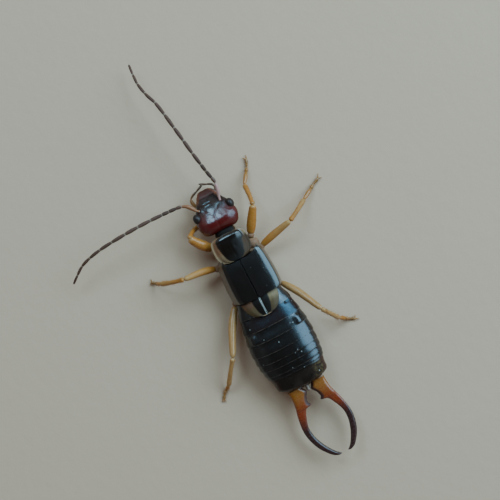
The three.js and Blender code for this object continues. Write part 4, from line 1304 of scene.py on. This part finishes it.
class EARWIG_OT_abdomen(Operator):
    """Rings of the abdomen, each a back plate and a belly plate over the skin between them"""

    bl_idname = "earwig.abdomen"
    bl_label = "Abdomen"

    def execute(self, context):
        sizes, colours = context.scene.earwig_sizes, context.scene.earwig_colours
        plain = ring_finish(colours, "abdomen_cuticle", colours.ring_sheen, 0.28)
        bluer = ring_finish(colours, "abdomen_cuticle_bluer", colours.blue_sheen, 0.04, 0.22)
        self.make_skin(colours)
        for index in range(len(MARGINS) - 1):
            name = f"abdomen_ring_{index + 1}"
            finish = bluer if index == HOLLOW_RING else plain
            add_piece(f"{name}_plates", self.ring(index, sizes), finish, "abdomen", name)
        self.make_last_ring(sizes, colours)
        self.make_tail(colours)
        return {"FINISHED"}

    def make_skin(self, colours):
        """The soft body that shows only in the creases between the plates."""
        def skin(behind, angle):
            along = share_of(behind, *INNER_SKIN_SPAN)
            crease = 0.015 * math.sin(behind * 40 + math.sin(3 * angle)) * abs(math.sin(angle))
            swell = crease - INNER_SKIN_DEPTH - 0.2 * (1 - rounding(along, 0.04, 0.04))
            return abdomen_point(behind, angle, swell), around_back(along, angle)

        shape = Shape()
        shape.skin(crowded(90, *INNER_SKIN_SPAN), 80, skin)
        add_piece("abdomen_skin", shape, skin_finish(colours), "abdomen")

    def ring(self, index, sizes):
        start, end = MARGINS[index], MARGINS[index + 1]
        tucked_share = RING_TUCK / (end - start + RING_TUCK)
        gland = GLANDS.get(index, 0)

        def thickness(column, row):
            return sizes.plate * rim(column, 0.03) * rim(row, 0.04)

        def back(column, row, face):
            share = column * 2 - 1
            angle = share * BACK_HALF_ANGLE
            behind = mix(start - RING_TUCK, end, row) - RING_BOW * (1 - math.cos(share * math.pi / 2))
            tucked = -BACK_TUCK_DEPTH * blend(tucked_share + 0.03, 0.0, row)
            lip = sizes.lip * blend(0.3, 0.96, row) - sizes.lip
            step = 0.003 * hump(row - 0.95, 0.03)
            swell = tucked + lip + step - face * thickness(column, row)
            x = abs(math.sin(angle)) * ABDOMEN_HALF_WIDTH(behind)
            if index == HOLLOW_RING:
                swell -= HOLLOW_DEPTH * hump(x - 1.13, 0.18) * hump(row - 0.19, 0.1)
            if gland:
                bulge = hump(x - 1.28, 0.2) * blend(0.15, 0.5, row) * blend(1.0, 0.85, row)
                swell += gland * GLAND_HEIGHT * bulge
            return abdomen_point(behind, angle, swell)

        def belly(column, row, face):
            angle = math.pi + (column * 2 - 1) * BELLY_HALF_ANGLE
            behind = mix(start - RING_TUCK, end, row) + BELLY_SETBACK
            tucked = -BELLY_TUCK_DEPTH * blend(tucked_share + 0.12, 0.0, row)
            lip = sizes.lip * (blend(0.3, 0.96, row) - 1)
            return abdomen_point(behind, angle, tucked + lip - face * thickness(column, row))

        shape = Shape()
        shape.plate(back, crowded(110), crowded(26))
        if index < BELLY_RINGS:
            shape.plate(belly, crowded(70), crowded(18))
        return shape

    def make_last_ring(self, sizes, colours):
        def skin(behind, angle):
            along = share_of(behind, *LAST_RING_SPAN)
            point = abdomen_point(behind, angle, -0.06 * blend(0.3, 0.1, along))
            knob = 0.05 * hump(abs(point.x) - 0.62, 0.2) * hump(behind - 11.84, 0.16)
            dip = 0.05 * hump(point.x, 0.22) * hump(behind - 11.82, 0.24)
            edge = 0.02 * hump(behind - 12.0, 0.035)
            point.z += max(math.cos(angle), 0) * (knob - dip + edge)
            return point, around_back(along, angle)

        def belly(column, row, face):
            share = column * 2 - 1
            front, rear = LAST_BELLY_SPAN
            behind = mix(front, rear - LAST_BELLY_BOW * share * share, row)
            thick = sizes.plate * rim(column, 0.03) * rim(row, 0.04)
            return abdomen_point(behind, math.pi + share * BELLY_HALF_ANGLE, 0.012 * row - face * thick)

        shape = Shape()
        shape.skin(crowded(84, *LAST_RING_SPAN), 150, skin)
        shape.plate(belly, crowded(70), crowded(40))
        add_piece("last_ring", shape, last_ring_finish(colours), "abdomen", "abdomen_last_ring")

    def make_tail(self, colours):
        def skin(behind, angle):
            along = share_of(behind, *TAIL_SPAN)
            opened = rounding(along, 0.05, 0.3)
            half_width = (TAIL_HALF_WIDTH - 0.03 * hump(along - 0.55, 0.2)) * opened
            low, high = TAIL_MIDDLE - TAIL_SWELL[0] * opened, TAIL_MIDDLE + TAIL_SWELL[1] * opened
            point = section(TAIL_CENTRE, behind, low, high, half_width, angle, TAIL_ROUNDNESS)
            return point, (along, 0, 0)

        shape = Shape()
        shape.skin(crowded(36, *TAIL_SPAN), 36, skin)
        finish = mouth_finish(colours, "tail_cuticle", colours.tail, colours.tail)
        add_piece("tail_plate_skin", shape, finish, "soft_skin", "tail_plate")


# Pincers

# Points of one arm from the root to the tip: the outer edge's x and place behind, then the inner edge's
PINCER_EDGES = (
    (1.11, 12.10, 0.32, 12.10), (1.10, 12.24, 0.22, 12.26), (1.095, 12.5, 0.14, 12.46),
    (1.125, 12.81, 0.31, 12.73), (1.19, 13.09, 0.38, 13.04), (1.23, 13.24, 0.31, 13.22),
    (1.27, 13.36, 0.66, 13.34), (1.37, 13.78, 0.915, 13.8), (1.44, 14.24, 1.065, 14.27),
    (1.45, 14.65, 1.075, 14.66), (1.37, 15.1, 1.005, 15.05), (1.21, 15.55, 0.835, 15.5),
    (0.975, 15.93, 0.625, 15.88), (0.665, 16.28, 0.425, 16.16), (0.385, 16.41, 0.29, 16.29),
    (0.2, 16.4, 0.19, 16.36))
PINCER_THICKNESS = profile((0, 0.6), (0.3, 0.52), (0.46, 0.38), (0.75, 0.34), (0.93, 0.24), (1, 0.06))
PINCER_HEIGHT = profile((0, 1.06), (0.35, 1.0), (0.65, 0.9), (1, 0.98))
PINCER_CENTRE = 0.07
PINCER_ROOT = 12.2
PINCER_LEAN = 0.055
PINCER_TEETH = 0.022
PINCER_TEETH_CLOSENESS = 150


def pincer_finish(colours):
    finish = Finish("pincer_cuticle", {**lacquered(0.15), **translucent(0.08)})
    along, across, upward = finish.place()
    blots = finish.noise(0.3, 4.0, 0.55) * 0.1 - 0.05
    colour = finish.mix(finish.rise(along + blots, 0.03, 0.28), colours.pincer_root, colours.pincer_middle)
    colour = finish.mix(finish.rise(along + blots, 0.3, 0.54), colour, colours.pincer_tip)
    inside = across + blots
    lobe = finish.rise(inside, -0.3, -0.6) * finish.rise(along, 0.12, 0.07)
    teeth = finish.rise(inside, -0.2, -0.5) * finish.rise(along, 0.3, 0.22) * finish.rise(along, 0.05, 0.09)
    colour = finish.mix(lobe.most(teeth) * 0.9, colour, colours.pincer_tip)
    ridge = finish.rise(abs(upward), 0.9, 1.0) * finish.rise(along, 0.25, 0.12)
    colour = finish.mix(ridge * 0.1, colour, colours.horn)
    roughness = finish.noise(0.08, 4.0) * 0.14 + 0.2 + teeth * 0.35
    coat = 0.15 - teeth * 0.15
    streaks = finish.noise(0.06, vector=finish.stretched(1.0, 0.3, 1.0))
    soft = finish.relief(streaks, 0.003)
    return finish.set(colour=colour, roughness=roughness, coat=coat, normal=grain(finish, 0.02, 0.0012, soft))


class EARWIG_OT_pincers(Operator):
    """Pincers, flat and toothed at the root and round and curved beyond their inner tooth"""

    bl_idname = "earwig.pincers"
    bl_label = "Pincers"

    def execute(self, context):
        finish = pincer_finish(context.scene.earwig_colours)
        last = len(PINCER_EDGES) - 1
        edges = [
            profile(*[(index / last, numbers[axis]) for index, numbers in enumerate(PINCER_EDGES)])
            for axis in range(4)
        ]
        stops = crowded(230)
        lengths = [0.0]
        for before, after in zip(stops, stops[1:]):
            step = [edge(after) - edge(before) for edge in edges]
            lengths.append(lengths[-1] + math.hypot((step[0] + step[2]) / 2, (step[1] + step[3]) / 2))
        along = {stop: length / lengths[-1] for stop, length in zip(stops, lengths)}
        for name, direction in SIDES:
            def arm(share, angle):
                outer_x, outer_behind, inner_x, inner_behind = [edge(share) for edge in edges]
                notches = blend(0.1, 0.16, share) * blend(0.36, 0.32, share)
                inner_x += PINCER_TEETH * notches * abs(math.sin(share * PINCER_TEETH_CLOSENESS))
                inner_x -= PINCER_TEETH / 2 * notches
                z = PINCER_HEIGHT(share)
                outer = self.leaning(direction, outer_x, outer_behind, z)
                inner = self.leaning(direction, inner_x, inner_behind, z)
                side = (outer - inner).normalized()
                half_width = (outer - inner).length / 2 * rounding(share, 0.004, 0.012)
                cosine, sine = math.cos(angle), math.sin(angle)
                across, upward = oval(angle, mix(0.5, 0.76, blend(0.4, 0.75, share)))
                wedge = 1 - 0.2 * blend(0.1, -1.0, cosine) * blend(0.5, 0.3, share)
                knob = 0.04 * hump(share - 0.1, 0.05) * hump(cosine + 0.5, 0.4) * max(sine, 0)
                lift = upward * PINCER_THICKNESS(share) / 2 * wedge + knob
                point = (outer + inner) / 2 + side * across * half_width + UP * lift
                return point, (along[share], cosine, sine)

            shape = Shape()
            shape.skin(stops, 56, arm)
            add_piece(f"pincer_{name}_arm", shape, finish, "pincer", f"pincer_{name}")
        return {"FINISHED"}

    def leaning(self, direction, x, behind, z):
        """A point of one arm, with the pair leaning a little to the right."""
        return Vector((direction * x + PINCER_CENTRE + PINCER_LEAN * (behind - PINCER_ROOT), -behind, z))


# Legs

# Each leg's joints, the turns of its foot, its claws' tips, half the width of its thigh and the thigh's bow,
# and where a hip is broader than the rest, by how much
LEGS = {
    "front_left": {
        "root": (-0.45, 3.6, 0.56), "hip": (-1.02, 3.08, 0.76), "knee": (-1.92, 2.06, 1.52),
        "shin": (-1.57, 1.78, 1.08), "ankle": (-0.98, 1.6, 0.44),
        "toes": ((-0.69, 1.1, 0.18), (-0.63, 0.94, 0.13), (-0.4, 0.55, 0.09)),
        "claws": ((-0.46, 0.36, 0.05), (-0.22, 0.44, 0.05)), "thigh": 0.29, "bow": (-0.04, 0.05),
    },
    "front_right": {
        "root": (0.95, 4.1, 0.6), "hip": (1.2, 3.34, 0.76), "knee": (2.04, 2.0, 1.3),
        "shin": (2.12, 1.4, 0.98), "ankle": (2.15, 0.77, 0.56),
        "toes": ((2.61, 0.11, 0.2), (2.72, -0.06, 0.13), (2.92, -0.5, 0.09)),
        "claws": ((2.72, -0.64, 0.05), (3.0, -0.72, 0.05)), "thigh": 0.265, "bow": (0, 0), "broad": 1.4,
    },
    "middle_left": {
        "root": (-0.6, 4.65, 0.52), "hip": (-1.4, 4.18, 0.7), "knee": (-3.17, 3.9, 1.8),
        "shin": (-3.85, 3.73, 1.45), "ankle": (-4.5, 3.52, 0.95),
        "toes": ((-4.72, 3.4, 0.36), (-4.78, 3.35, 0.16), (-4.98, 3.18, 0.09)),
        "claws": ((-4.9, 3.0, 0.05), (-5.09, 3.32, 0.05)), "thigh": 0.2, "bow": (0, -0.07),
    },
    "middle_right": {
        "root": (0.6, 4.65, 0.52), "hip": (1.46, 4.2, 0.7), "knee": (3.44, 3.72, 1.35),
        "shin": (4.08, 3.38, 1.0), "ankle": (4.7, 3.02, 0.52),
        "toes": ((5.36, 2.64, 0.2), (5.53, 2.53, 0.13), (6.0, 2.3, 0.09)),
        "claws": ((6.11, 2.06, 0.05), (6.2, 2.38, 0.05)), "thigh": 0.21, "bow": (0, -0.03),
    },
    "hind_left": {
        "root": (-0.6, 6.1, 0.5), "hip": (-1.42, 6.5, 0.66), "knee": (-2.82, 8.95, 1.35),
        "shin": (-3.3, 9.6, 1.0), "ankle": (-3.77, 10.27, 0.5),
        "toes": ((-3.95, 10.4, 0.19), (-4.1, 10.5, 0.12), (-4.4, 10.86, 0.09)),
        "claws": ((-4.34, 11.08, 0.05), (-4.58, 10.98, 0.05)), "thigh": 0.225, "bow": (-0.09, -0.03),
    },
    "hind_right": {
        "root": (0.6, 6.1, 0.5), "hip": (1.45, 6.5, 0.66), "knee": (2.74, 8.77, 1.88),
        "shin": (3.06, 9.24, 1.35), "ankle": (3.41, 9.73, 0.62),
        "toes": ((3.74, 9.96, 0.2), (3.86, 10.05, 0.12), (4.22, 10.24, 0.09)),
        "claws": ((4.3, 10.04, 0.05), (4.44, 10.34, 0.05)), "thigh": 0.21, "bow": (0.08, -0.03),
    },
}
FOOT_JOINTS = (0, 0.5, 0.64, 1)
THIGH_SHARES = profile((0, 0.62), (0.1, 0.85), (0.35, 1.0), (0.75, 0.86), (0.92, 0.74), (1, 0.6))
SHIN_SHARES = profile((0, 0.9), (0.06, 1.1), (0.2, 0.95), (0.6, 1.0), (0.92, 1.12), (1, 0.85))
FOOT_SHARES = profile(
    (0, 0.68), (0.1, 0.84), (0.4, 0.9), (0.5, 0.7), (0.56, 0.9), (0.62, 0.8), (0.7, 0.5), (0.9, 0.66),
    (1, 0.6))
THIGH_FLATNESS = 0.84
THIGH_KEEL = 0.015
THIGH_MIDDLE = 0.4
LEG_FLATNESS = 0.9
# The shares of the way from root to hip at which the cone ends, and the ring starts and ends
CONE_END = 0.72
COLLAR_SPAN = (0.7, 1.08)
COLLAR_HALF_WIDTH = profile((0, 0.15), (0.5, 0.2), (1, 0.16))
CLAW_HALF_WIDTH = profile((0, 0.035), (0.5, 0.028), (1, 0.006))
CLAW_ARCH = Vector((0, 0, 0.045))
# The shares of the foot's last piece beyond the claws' roots, and of a claw before its crest
CLAW_ROOT = 0.12
CLAW_CREST = 0.55
SOLE_HEIGHT = 0.002


def leg_finish(colours, name, root, tip, pale_ends, gloss=0.12):
    """Amber skin that runs from one colour to another, with pale ends."""
    finish = Finish(name, {**lacquered(gloss, 0.1 + gloss * 2.5), **translucent(0.12)})
    along = finish.place()[0]
    blots = finish.noise(0.25, 4.0, 0.55)
    colour = finish.mix(finish.rise(along + blots * 0.2, 0.1, 1.1), root, tip)
    ends = finish.rise(along, 0.1, 0.0).most(finish.rise(along, 0.88, 0.98)) * pale_ends
    colour = finish.mix(ends, colour, colours.knee)
    shade = finish.rise(blots, 0.45, 0.75) * 0.4
    colour = finish.mix(shade, colour, colours.foot)
    roughness = finish.noise(0.06) * 0.12 + 0.45 - gloss * 2
    return finish.set(colour=colour, roughness=roughness, normal=grain(finish, 0.022, 0.002))


def thigh_tube(leg):
    """From the hip over the bowed middle to the knee, with a keel along the top."""
    x, behind, z = Vector(leg["hip"]).lerp(Vector(leg["knee"]), THIGH_MIDDLE)
    middle = (x + leg["bow"][0], behind + leg["bow"][1], z)

    def keel(share, angle):
        return THIGH_KEEL * hump(math.sin(angle) - 1, 0.2) * blend(0.05, 0.3, share)

    half_width = scaled(THIGH_SHARES, leg["thigh"])
    return Tube([leg["hip"], middle, leg["knee"]], half_width, THIGH_FLATNESS, (0.05, 0.07), keel)


def shin_tube(leg, thickness):
    path = [leg["knee"], leg["shin"], leg["ankle"]]
    return Tube(path, scaled(SHIN_SHARES, thickness), LEG_FLATNESS, (0.06, 0.04))


def foot_tube(leg, thickness):
    half_width = beaded(scaled(FOOT_SHARES, thickness), FOOT_JOINTS, 0.7)
    return Tube([leg["ankle"], *leg["toes"]], half_width, LEG_FLATNESS, (0.03, 0.03))


class EARWIG_OT_legs(Operator):
    """Six legs: hip and its ring, thigh, shin, three-jointed foot and two claws"""

    bl_idname = "earwig.legs"
    bl_label = "Legs"

    def execute(self, context):
        colours, thickness = context.scene.earwig_colours, context.scene.earwig_sizes.shin
        hip_finish = leg_finish(colours, "hip_cuticle", colours.hip, colours.hip, 0.3, 0.0)
        finishes = {
            "front": leg_finish(colours, "amber_leg_cuticle", colours.amber, colours.amber, 0.4),
            "middle": leg_finish(colours, "middle_leg_cuticle", colours.amber, colours.straw, 0.25, 0.03),
            "hind": leg_finish(colours, "straw_leg_cuticle", colours.straw, colours.straw, 0.25),
        }
        foot_finish = leg_finish(colours, "foot_cuticle", colours.amber, colours.foot, 0.2)
        for name, leg in LEGS.items():
            long_finish = finishes[name.split("_")[0]]
            thigh = Shape()
            thigh.tube(thigh_tube(leg), crowded(56), 40)
            shin = Shape()
            shin.tube(shin_tube(leg, thickness), crowded(56), 28)
            add_piece(f"hip_{name}", self.hip(leg), hip_finish, "leg", f"leg_{name}_hip")
            add_piece(f"thigh_{name}", thigh, long_finish, "leg", f"leg_{name}_thigh")
            add_piece(f"shin_{name}", shin, long_finish, "leg", f"leg_{name}_shin")
            add_piece(f"foot_{name}", self.foot(leg, thickness), foot_finish, "leg", f"leg_{name}_foot")
        return {"FINISHED"}

    def hip(self, leg):
        shape = Shape()
        root, end = Vector(leg["root"]), Vector(leg["hip"])
        broad = leg.get("broad", 1.0)
        # However broad the hip, its end is as narrow as the ring
        cone = profile((0, 0.24 * broad), (0.4, 0.29 * broad), (0.8, 0.25 * broad), (1, 0.19))
        path = [leg["root"], tuple(root.lerp(end, CONE_END))]
        shape.tube(Tube(path, cone, LEG_FLATNESS, (0.1, 0.1)), crowded(36), 36)
        collar = [tuple(root.lerp(end, share)) for share in COLLAR_SPAN]
        shape.tube(Tube(collar, COLLAR_HALF_WIDTH, LEG_FLATNESS, (0.25, 0.25)), crowded(24), 32)
        return shape

    def foot(self, leg, thickness):
        shape = Shape()
        shape.tube(foot_tube(leg, thickness), article_stops(FOOT_JOINTS, 18))
        before, tip = [Vector(toe) for toe in leg["toes"][-2:]]
        start = tip.lerp(before, CLAW_ROOT)
        for claw in leg["claws"]:
            crest = start.lerp(Vector(claw), CLAW_CREST) + CLAW_ARCH
            shape.tube(Tube([tuple(start), tuple(crest), claw], CLAW_HALF_WIDTH), crowded(20), 14)
        for point in shape.points:
            point.z = max(point.z, SOLE_HEIGHT)
        return shape


# Bristles

BRISTLE_STEPS = (0.0, 0.35, 0.7)
BRISTLE_DEPTH = 0.01
BRISTLE_BEND = 0.25
BRISTLE_TAPER = 0.8
LOWEST_BRISTLE = 0.001
PATCH_MARGIN = 0.05
PATCH_ROWS = 8


def bristle_finish(colours):
    finish = Finish("bristle_cuticle", {"Coat Weight": 0.1})
    colour = finish.mix(finish.rise(finish.place()[0], 0.1, 0.9) * 0.6, colours.amber, colours.horn)
    return finish.set(colour=colour, roughness=finish.noise(0.1) * 0.1 + 0.4)


class Bristles(Shape):
    """Tapered hairs, each with a small patch of its own in the map that colours them."""

    PATCH = 0.003

    def __init__(self, seed):
        super().__init__()
        self.chance = random.Random(seed)
        self.patches = []

    def grow(self, root, out, heading, length, width, patch):
        """One hair of three sides that leans along the limb and bends towards its tip."""
        stem = (out + heading * self.chance.uniform(0.5, 0.9)).normalized()
        side = stem.cross(heading).normalized()
        lift = side.cross(stem)
        points, places, faces = [], [], []
        for step, share in enumerate(BRISTLE_STEPS):
            bend = heading * (length * BRISTLE_BEND * share * share)
            centre = root - out * BRISTLE_DEPTH + stem * (length * share) + bend
            for corner in range(3):
                angle = 2 * math.pi * corner / 3
                away = side * math.cos(angle) + lift * math.sin(angle)
                away = away * width * (1 - BRISTLE_TAPER * share)
                points.append(centre + away)
                places.append((share, 0, 0))
            if step:
                for corner in range(3):
                    here, after = (step - 1) * 3 + corner, (step - 1) * 3 + (corner + 1) % 3
                    faces.append([here, after, after + 3, here + 3])
        points.append(root + stem * length + heading * (length * BRISTLE_BEND))
        places.append((1, 0, 0))
        faces += [[6, 7, 9], [7, 8, 9], [8, 6, 9], [2, 1, 0]]
        self.add(points, faces, places)
        self.patches += [patch] * len(faces)

    def cover(self, limb, count, length, width, cell, shares=(0.04, 0.97)):
        """Hairs at random over a limb; its cell is a column and a row in the map."""
        for _ in range(count):
            share, angle = self.chance.uniform(*shares), self.chance.uniform(0, 2 * math.pi)
            root, out, heading = limb.surface(share, angle)
            turns = angle / (2 * math.pi)
            patch = [
                (column + PATCH_MARGIN + (1 - 2 * PATCH_MARGIN) * part) / PATCH_ROWS
                for column, part in zip(cell, (share, turns))
            ]
            self.grow(root, out, heading, length * self.chance.uniform(0.6, 1.1), width, patch)

    def finish_piece(self, name, finish, slot):
        piece = add_piece(name, self, finish, slot)
        layer = piece.data.uv_layers.new(name="OFBake")
        for polygon in piece.data.polygons:
            u, v = self.patches[polygon.index]
            for corner, loop in enumerate(polygon.loop_indices):
                angle = 2 * math.pi * corner / len(polygon.loop_indices)
                reach = self.PATCH / 2
                layer.data[loop].uv = (u + reach * math.cos(angle), v + reach * math.sin(angle))


class EARWIG_OT_bristles(Operator):
    """Short bristles of the legs and the down of the feelers"""

    bl_idname = "earwig.bristles"
    bl_label = "Bristles"

    def execute(self, context):
        sizes, colours = context.scene.earwig_sizes, context.scene.earwig_colours
        finish = bristle_finish(colours)
        legs = Bristles(seed=11)
        for index, leg in enumerate(LEGS.values()):
            legs.cover(thigh_tube(leg), 60, sizes.bristle * 0.7, 0.005, (index, 0), (0.1, 0.9))
            legs.cover(shin_tube(leg, sizes.shin), 150, sizes.bristle, 0.006, (index, 1))
            legs.cover(foot_tube(leg, sizes.shin), 130, sizes.bristle * 0.7, 0.005, (index, 2), (0.05, 0.9))
        for point in legs.points:
            point.z = max(point.z, LOWEST_BRISTLE)
        legs.finish_piece("leg_bristles", finish, "leg")
        down = Bristles(seed=12)
        for index, (name, _) in enumerate(SIDES):
            down.cover(whip(name, sizes.feeler), sizes.down, sizes.bristle * 0.42, 0.0035, (index, 3))
            down.cover(feeler_base(name, sizes.feeler), 60, sizes.bristle * 0.4, 0.004, (index, 4))
        down.finish_piece("feeler_down", finish, "feeler")
        return {"FINISHED"}


# Stage

# The point that the camera and the windows are aimed at, as x, place behind and height
AIM = (0.7535, 4.128, 1.1)
# Each window's turn from the insect's right towards its front, height above the floor and width
WINDOWS = {
    "side_window": (6, 38, 0.15),
    "corner_window": (44, 42, 0.07),
    "bridge_window": (70, 45, 0.04),
    "front_window": (101, 50, 0.07),
}
WINDOW_DISTANCE = 0.16
FLOOR_SIZE = 1.0
FLOOR_BLOT_SHADE = 0.86
# The distances in millimetres over which the floor turns to its far colour
FAR_FLOOR_SPAN = (40.0, 240.0)
# The way to the insect's left and rear, where less light comes from
SHADED_WAY = (-0.87, -0.5, 0)
SHADED_SPREAD = (0.1, 0.6)
OVERHEAD_SPREAD = (0.74, 0.90)
CAMERA_CLIP = (0.001, 10)


def floor_finish(colours):
    finish = Finish("floor_plaster", {"IOR": 1.4, "Specular IOR Level": 0.2})
    blots = finish.noise(4.0, 5.0, 0.55)
    colour = finish.mix(blots * 0.25, colours.floor, tuple(part * FLOOR_BLOT_SHADE for part in colours.floor))
    distance = finish.node("ShaderNodeVectorMath", {"operation": "LENGTH"}, {0: finish.millimetres}, "Value")
    colour = finish.mix(finish.rise(distance, *FAR_FLOOR_SPAN), colour, colours.far_floor)
    roughness = finish.noise(1.0) * 0.1 + 0.8
    return finish.set(colour=colour, roughness=roughness, normal=finish.relief(finish.noise(0.6, 4.0), 0.02))


class EARWIG_OT_stage(Operator):
    """Pale floor, soft light with a cool sky on the insect's right, and the camera above its back"""

    bl_idname = "earwig.stage"
    bl_label = "Stage"

    def execute(self, context):
        stage = context.scene.earwig_stage
        x, behind, z = AIM
        middle = Vector((MIDLINE + x * MM, FRONT - behind * MM, z * MM))
        self.make_floor(context.scene.earwig_colours)
        self.make_surroundings(context.scene, stage)
        for name, (turn, height, size) in WINDOWS.items():
            lamp = self.add_window(name, size, getattr(stage, name), stage.window_colour)
            self.place_window(lamp, middle, math.radians(turn), math.radians(height))
        self.make_camera(context.scene, stage, middle)
        return {"FINISHED"}

    def make_floor(self, colours):
        size = FLOOR_SIZE
        mesh = bpy.data.meshes.new("floor")
        corners = [(-size, -size, 0), (size, -size, 0), (size, size, 0), (-size, size, 0)]
        mesh.from_pydata(corners, [], [[0, 1, 2, 3]])
        mesh.materials.append(floor_finish(colours))
        floor = bpy.data.objects.new("floor", mesh)
        bpy.context.scene.collection.objects.link(floor)

    def make_surroundings(self, scene, stage):
        """Dim light from all round that darkens straight overhead."""
        world = bpy.data.worlds.new("surroundings")
        nodes = Nodes(world)
        direction = nodes.node("ShaderNodeTexCoord", {}, {}, "Generated")

        def toward(way):
            values = {0: direction, 1: way}
            return nodes.node("ShaderNodeVectorMath", {"operation": "DOT_PRODUCT"}, values, "Value")

        shaded = nodes.rise(toward(SHADED_WAY), *SHADED_SPREAD)
        sides = nodes.mix(shaded, stage.surroundings, stage.shaded_side)
        colour = nodes.mix(nodes.rise(toward(UP), *OVERHEAD_SPREAD), sides, stage.overhead)
        background = nodes.node("ShaderNodeBackground", {}, {"Color": colour})
        nodes.node("ShaderNodeOutputWorld", {}, {"Surface": background})
        scene.world = world

    def add_window(self, name, size, power, colour):
        """A round soft light."""
        light = bpy.data.lights.new(name, "AREA")
        light.shape = "DISK"
        light.size = size
        light.energy = power
        light.color = colour
        lamp = bpy.data.objects.new(name, light)
        bpy.context.scene.collection.objects.link(lamp)
        return lamp

    def place_window(self, lamp, middle, turn, height):
        """Sets a light this far round from the insect's right and above the floor, aimed at the middle."""
        level = math.cos(height)
        direction = Vector((math.cos(turn) * level, math.sin(turn) * level, math.sin(height)))
        lamp.location = middle + direction * WINDOW_DISTANCE
        lamp.rotation_mode = "QUATERNION"
        lamp.rotation_quaternion = direction.to_track_quat("Z", "Y")

    def make_camera(self, scene, stage, middle):
        data = bpy.data.cameras.new("camera")
        data.lens = stage.lens
        data.clip_start, data.clip_end = CAMERA_CLIP
        distance = stage.field * stage.lens / data.sensor_width
        camera = bpy.data.objects.new("camera", data)
        camera.location = middle + Vector((0, 0, distance))
        camera.rotation_euler = (0, 0, stage.turn)
        scene.collection.objects.link(camera)
        scene.camera = camera


class EARWIG_PT_panel(Panel):
    """Lists the pieces of the earwig in the order in which they are made"""

    bl_idname = "EARWIG_PT_panel"
    bl_label = "Earwig"
    bl_space_type = "VIEW_3D"
    bl_region_type = "UI"
    bl_category = "Earwig"

    def draw(self, context):
        for operator in PIECES:
            self.layout.operator(operator.bl_idname)
        for group in (context.scene.earwig_sizes, context.scene.earwig_colours, context.scene.earwig_stage):
            box = self.layout.box()
            for name in group.__annotations__:
                box.prop(group, name)


PIECES = (
    EARWIG_OT_stage, EARWIG_OT_head, EARWIG_OT_eyes, EARWIG_OT_mouth, EARWIG_OT_feelers,
    EARWIG_OT_neck_shield, EARWIG_OT_chest, EARWIG_OT_wing_covers, EARWIG_OT_wing_tips, EARWIG_OT_abdomen,
    EARWIG_OT_pincers, EARWIG_OT_legs, EARWIG_OT_bristles,
)
GROUPS = {"earwig_sizes": EarwigSizes, "earwig_colours": EarwigColours, "earwig_stage": EarwigStage}


def register():
    for group in (*GROUPS.values(), *PIECES, EARWIG_PT_panel):
        bpy.utils.register_class(group)
    for name, group in GROUPS.items():
        setattr(bpy.types.Scene, name, PointerProperty(type=group))


def unregister():
    for name in GROUPS:
        delattr(bpy.types.Scene, name)
    for group in reversed((*GROUPS.values(), *PIECES, EARWIG_PT_panel)):
        bpy.utils.unregister_class(group)


def main():
    register()
    for operator in PIECES:
        area, name = operator.bl_idname.split(".")
        getattr(getattr(bpy.ops, area), name)()


if __name__ == "__main__":
    main()
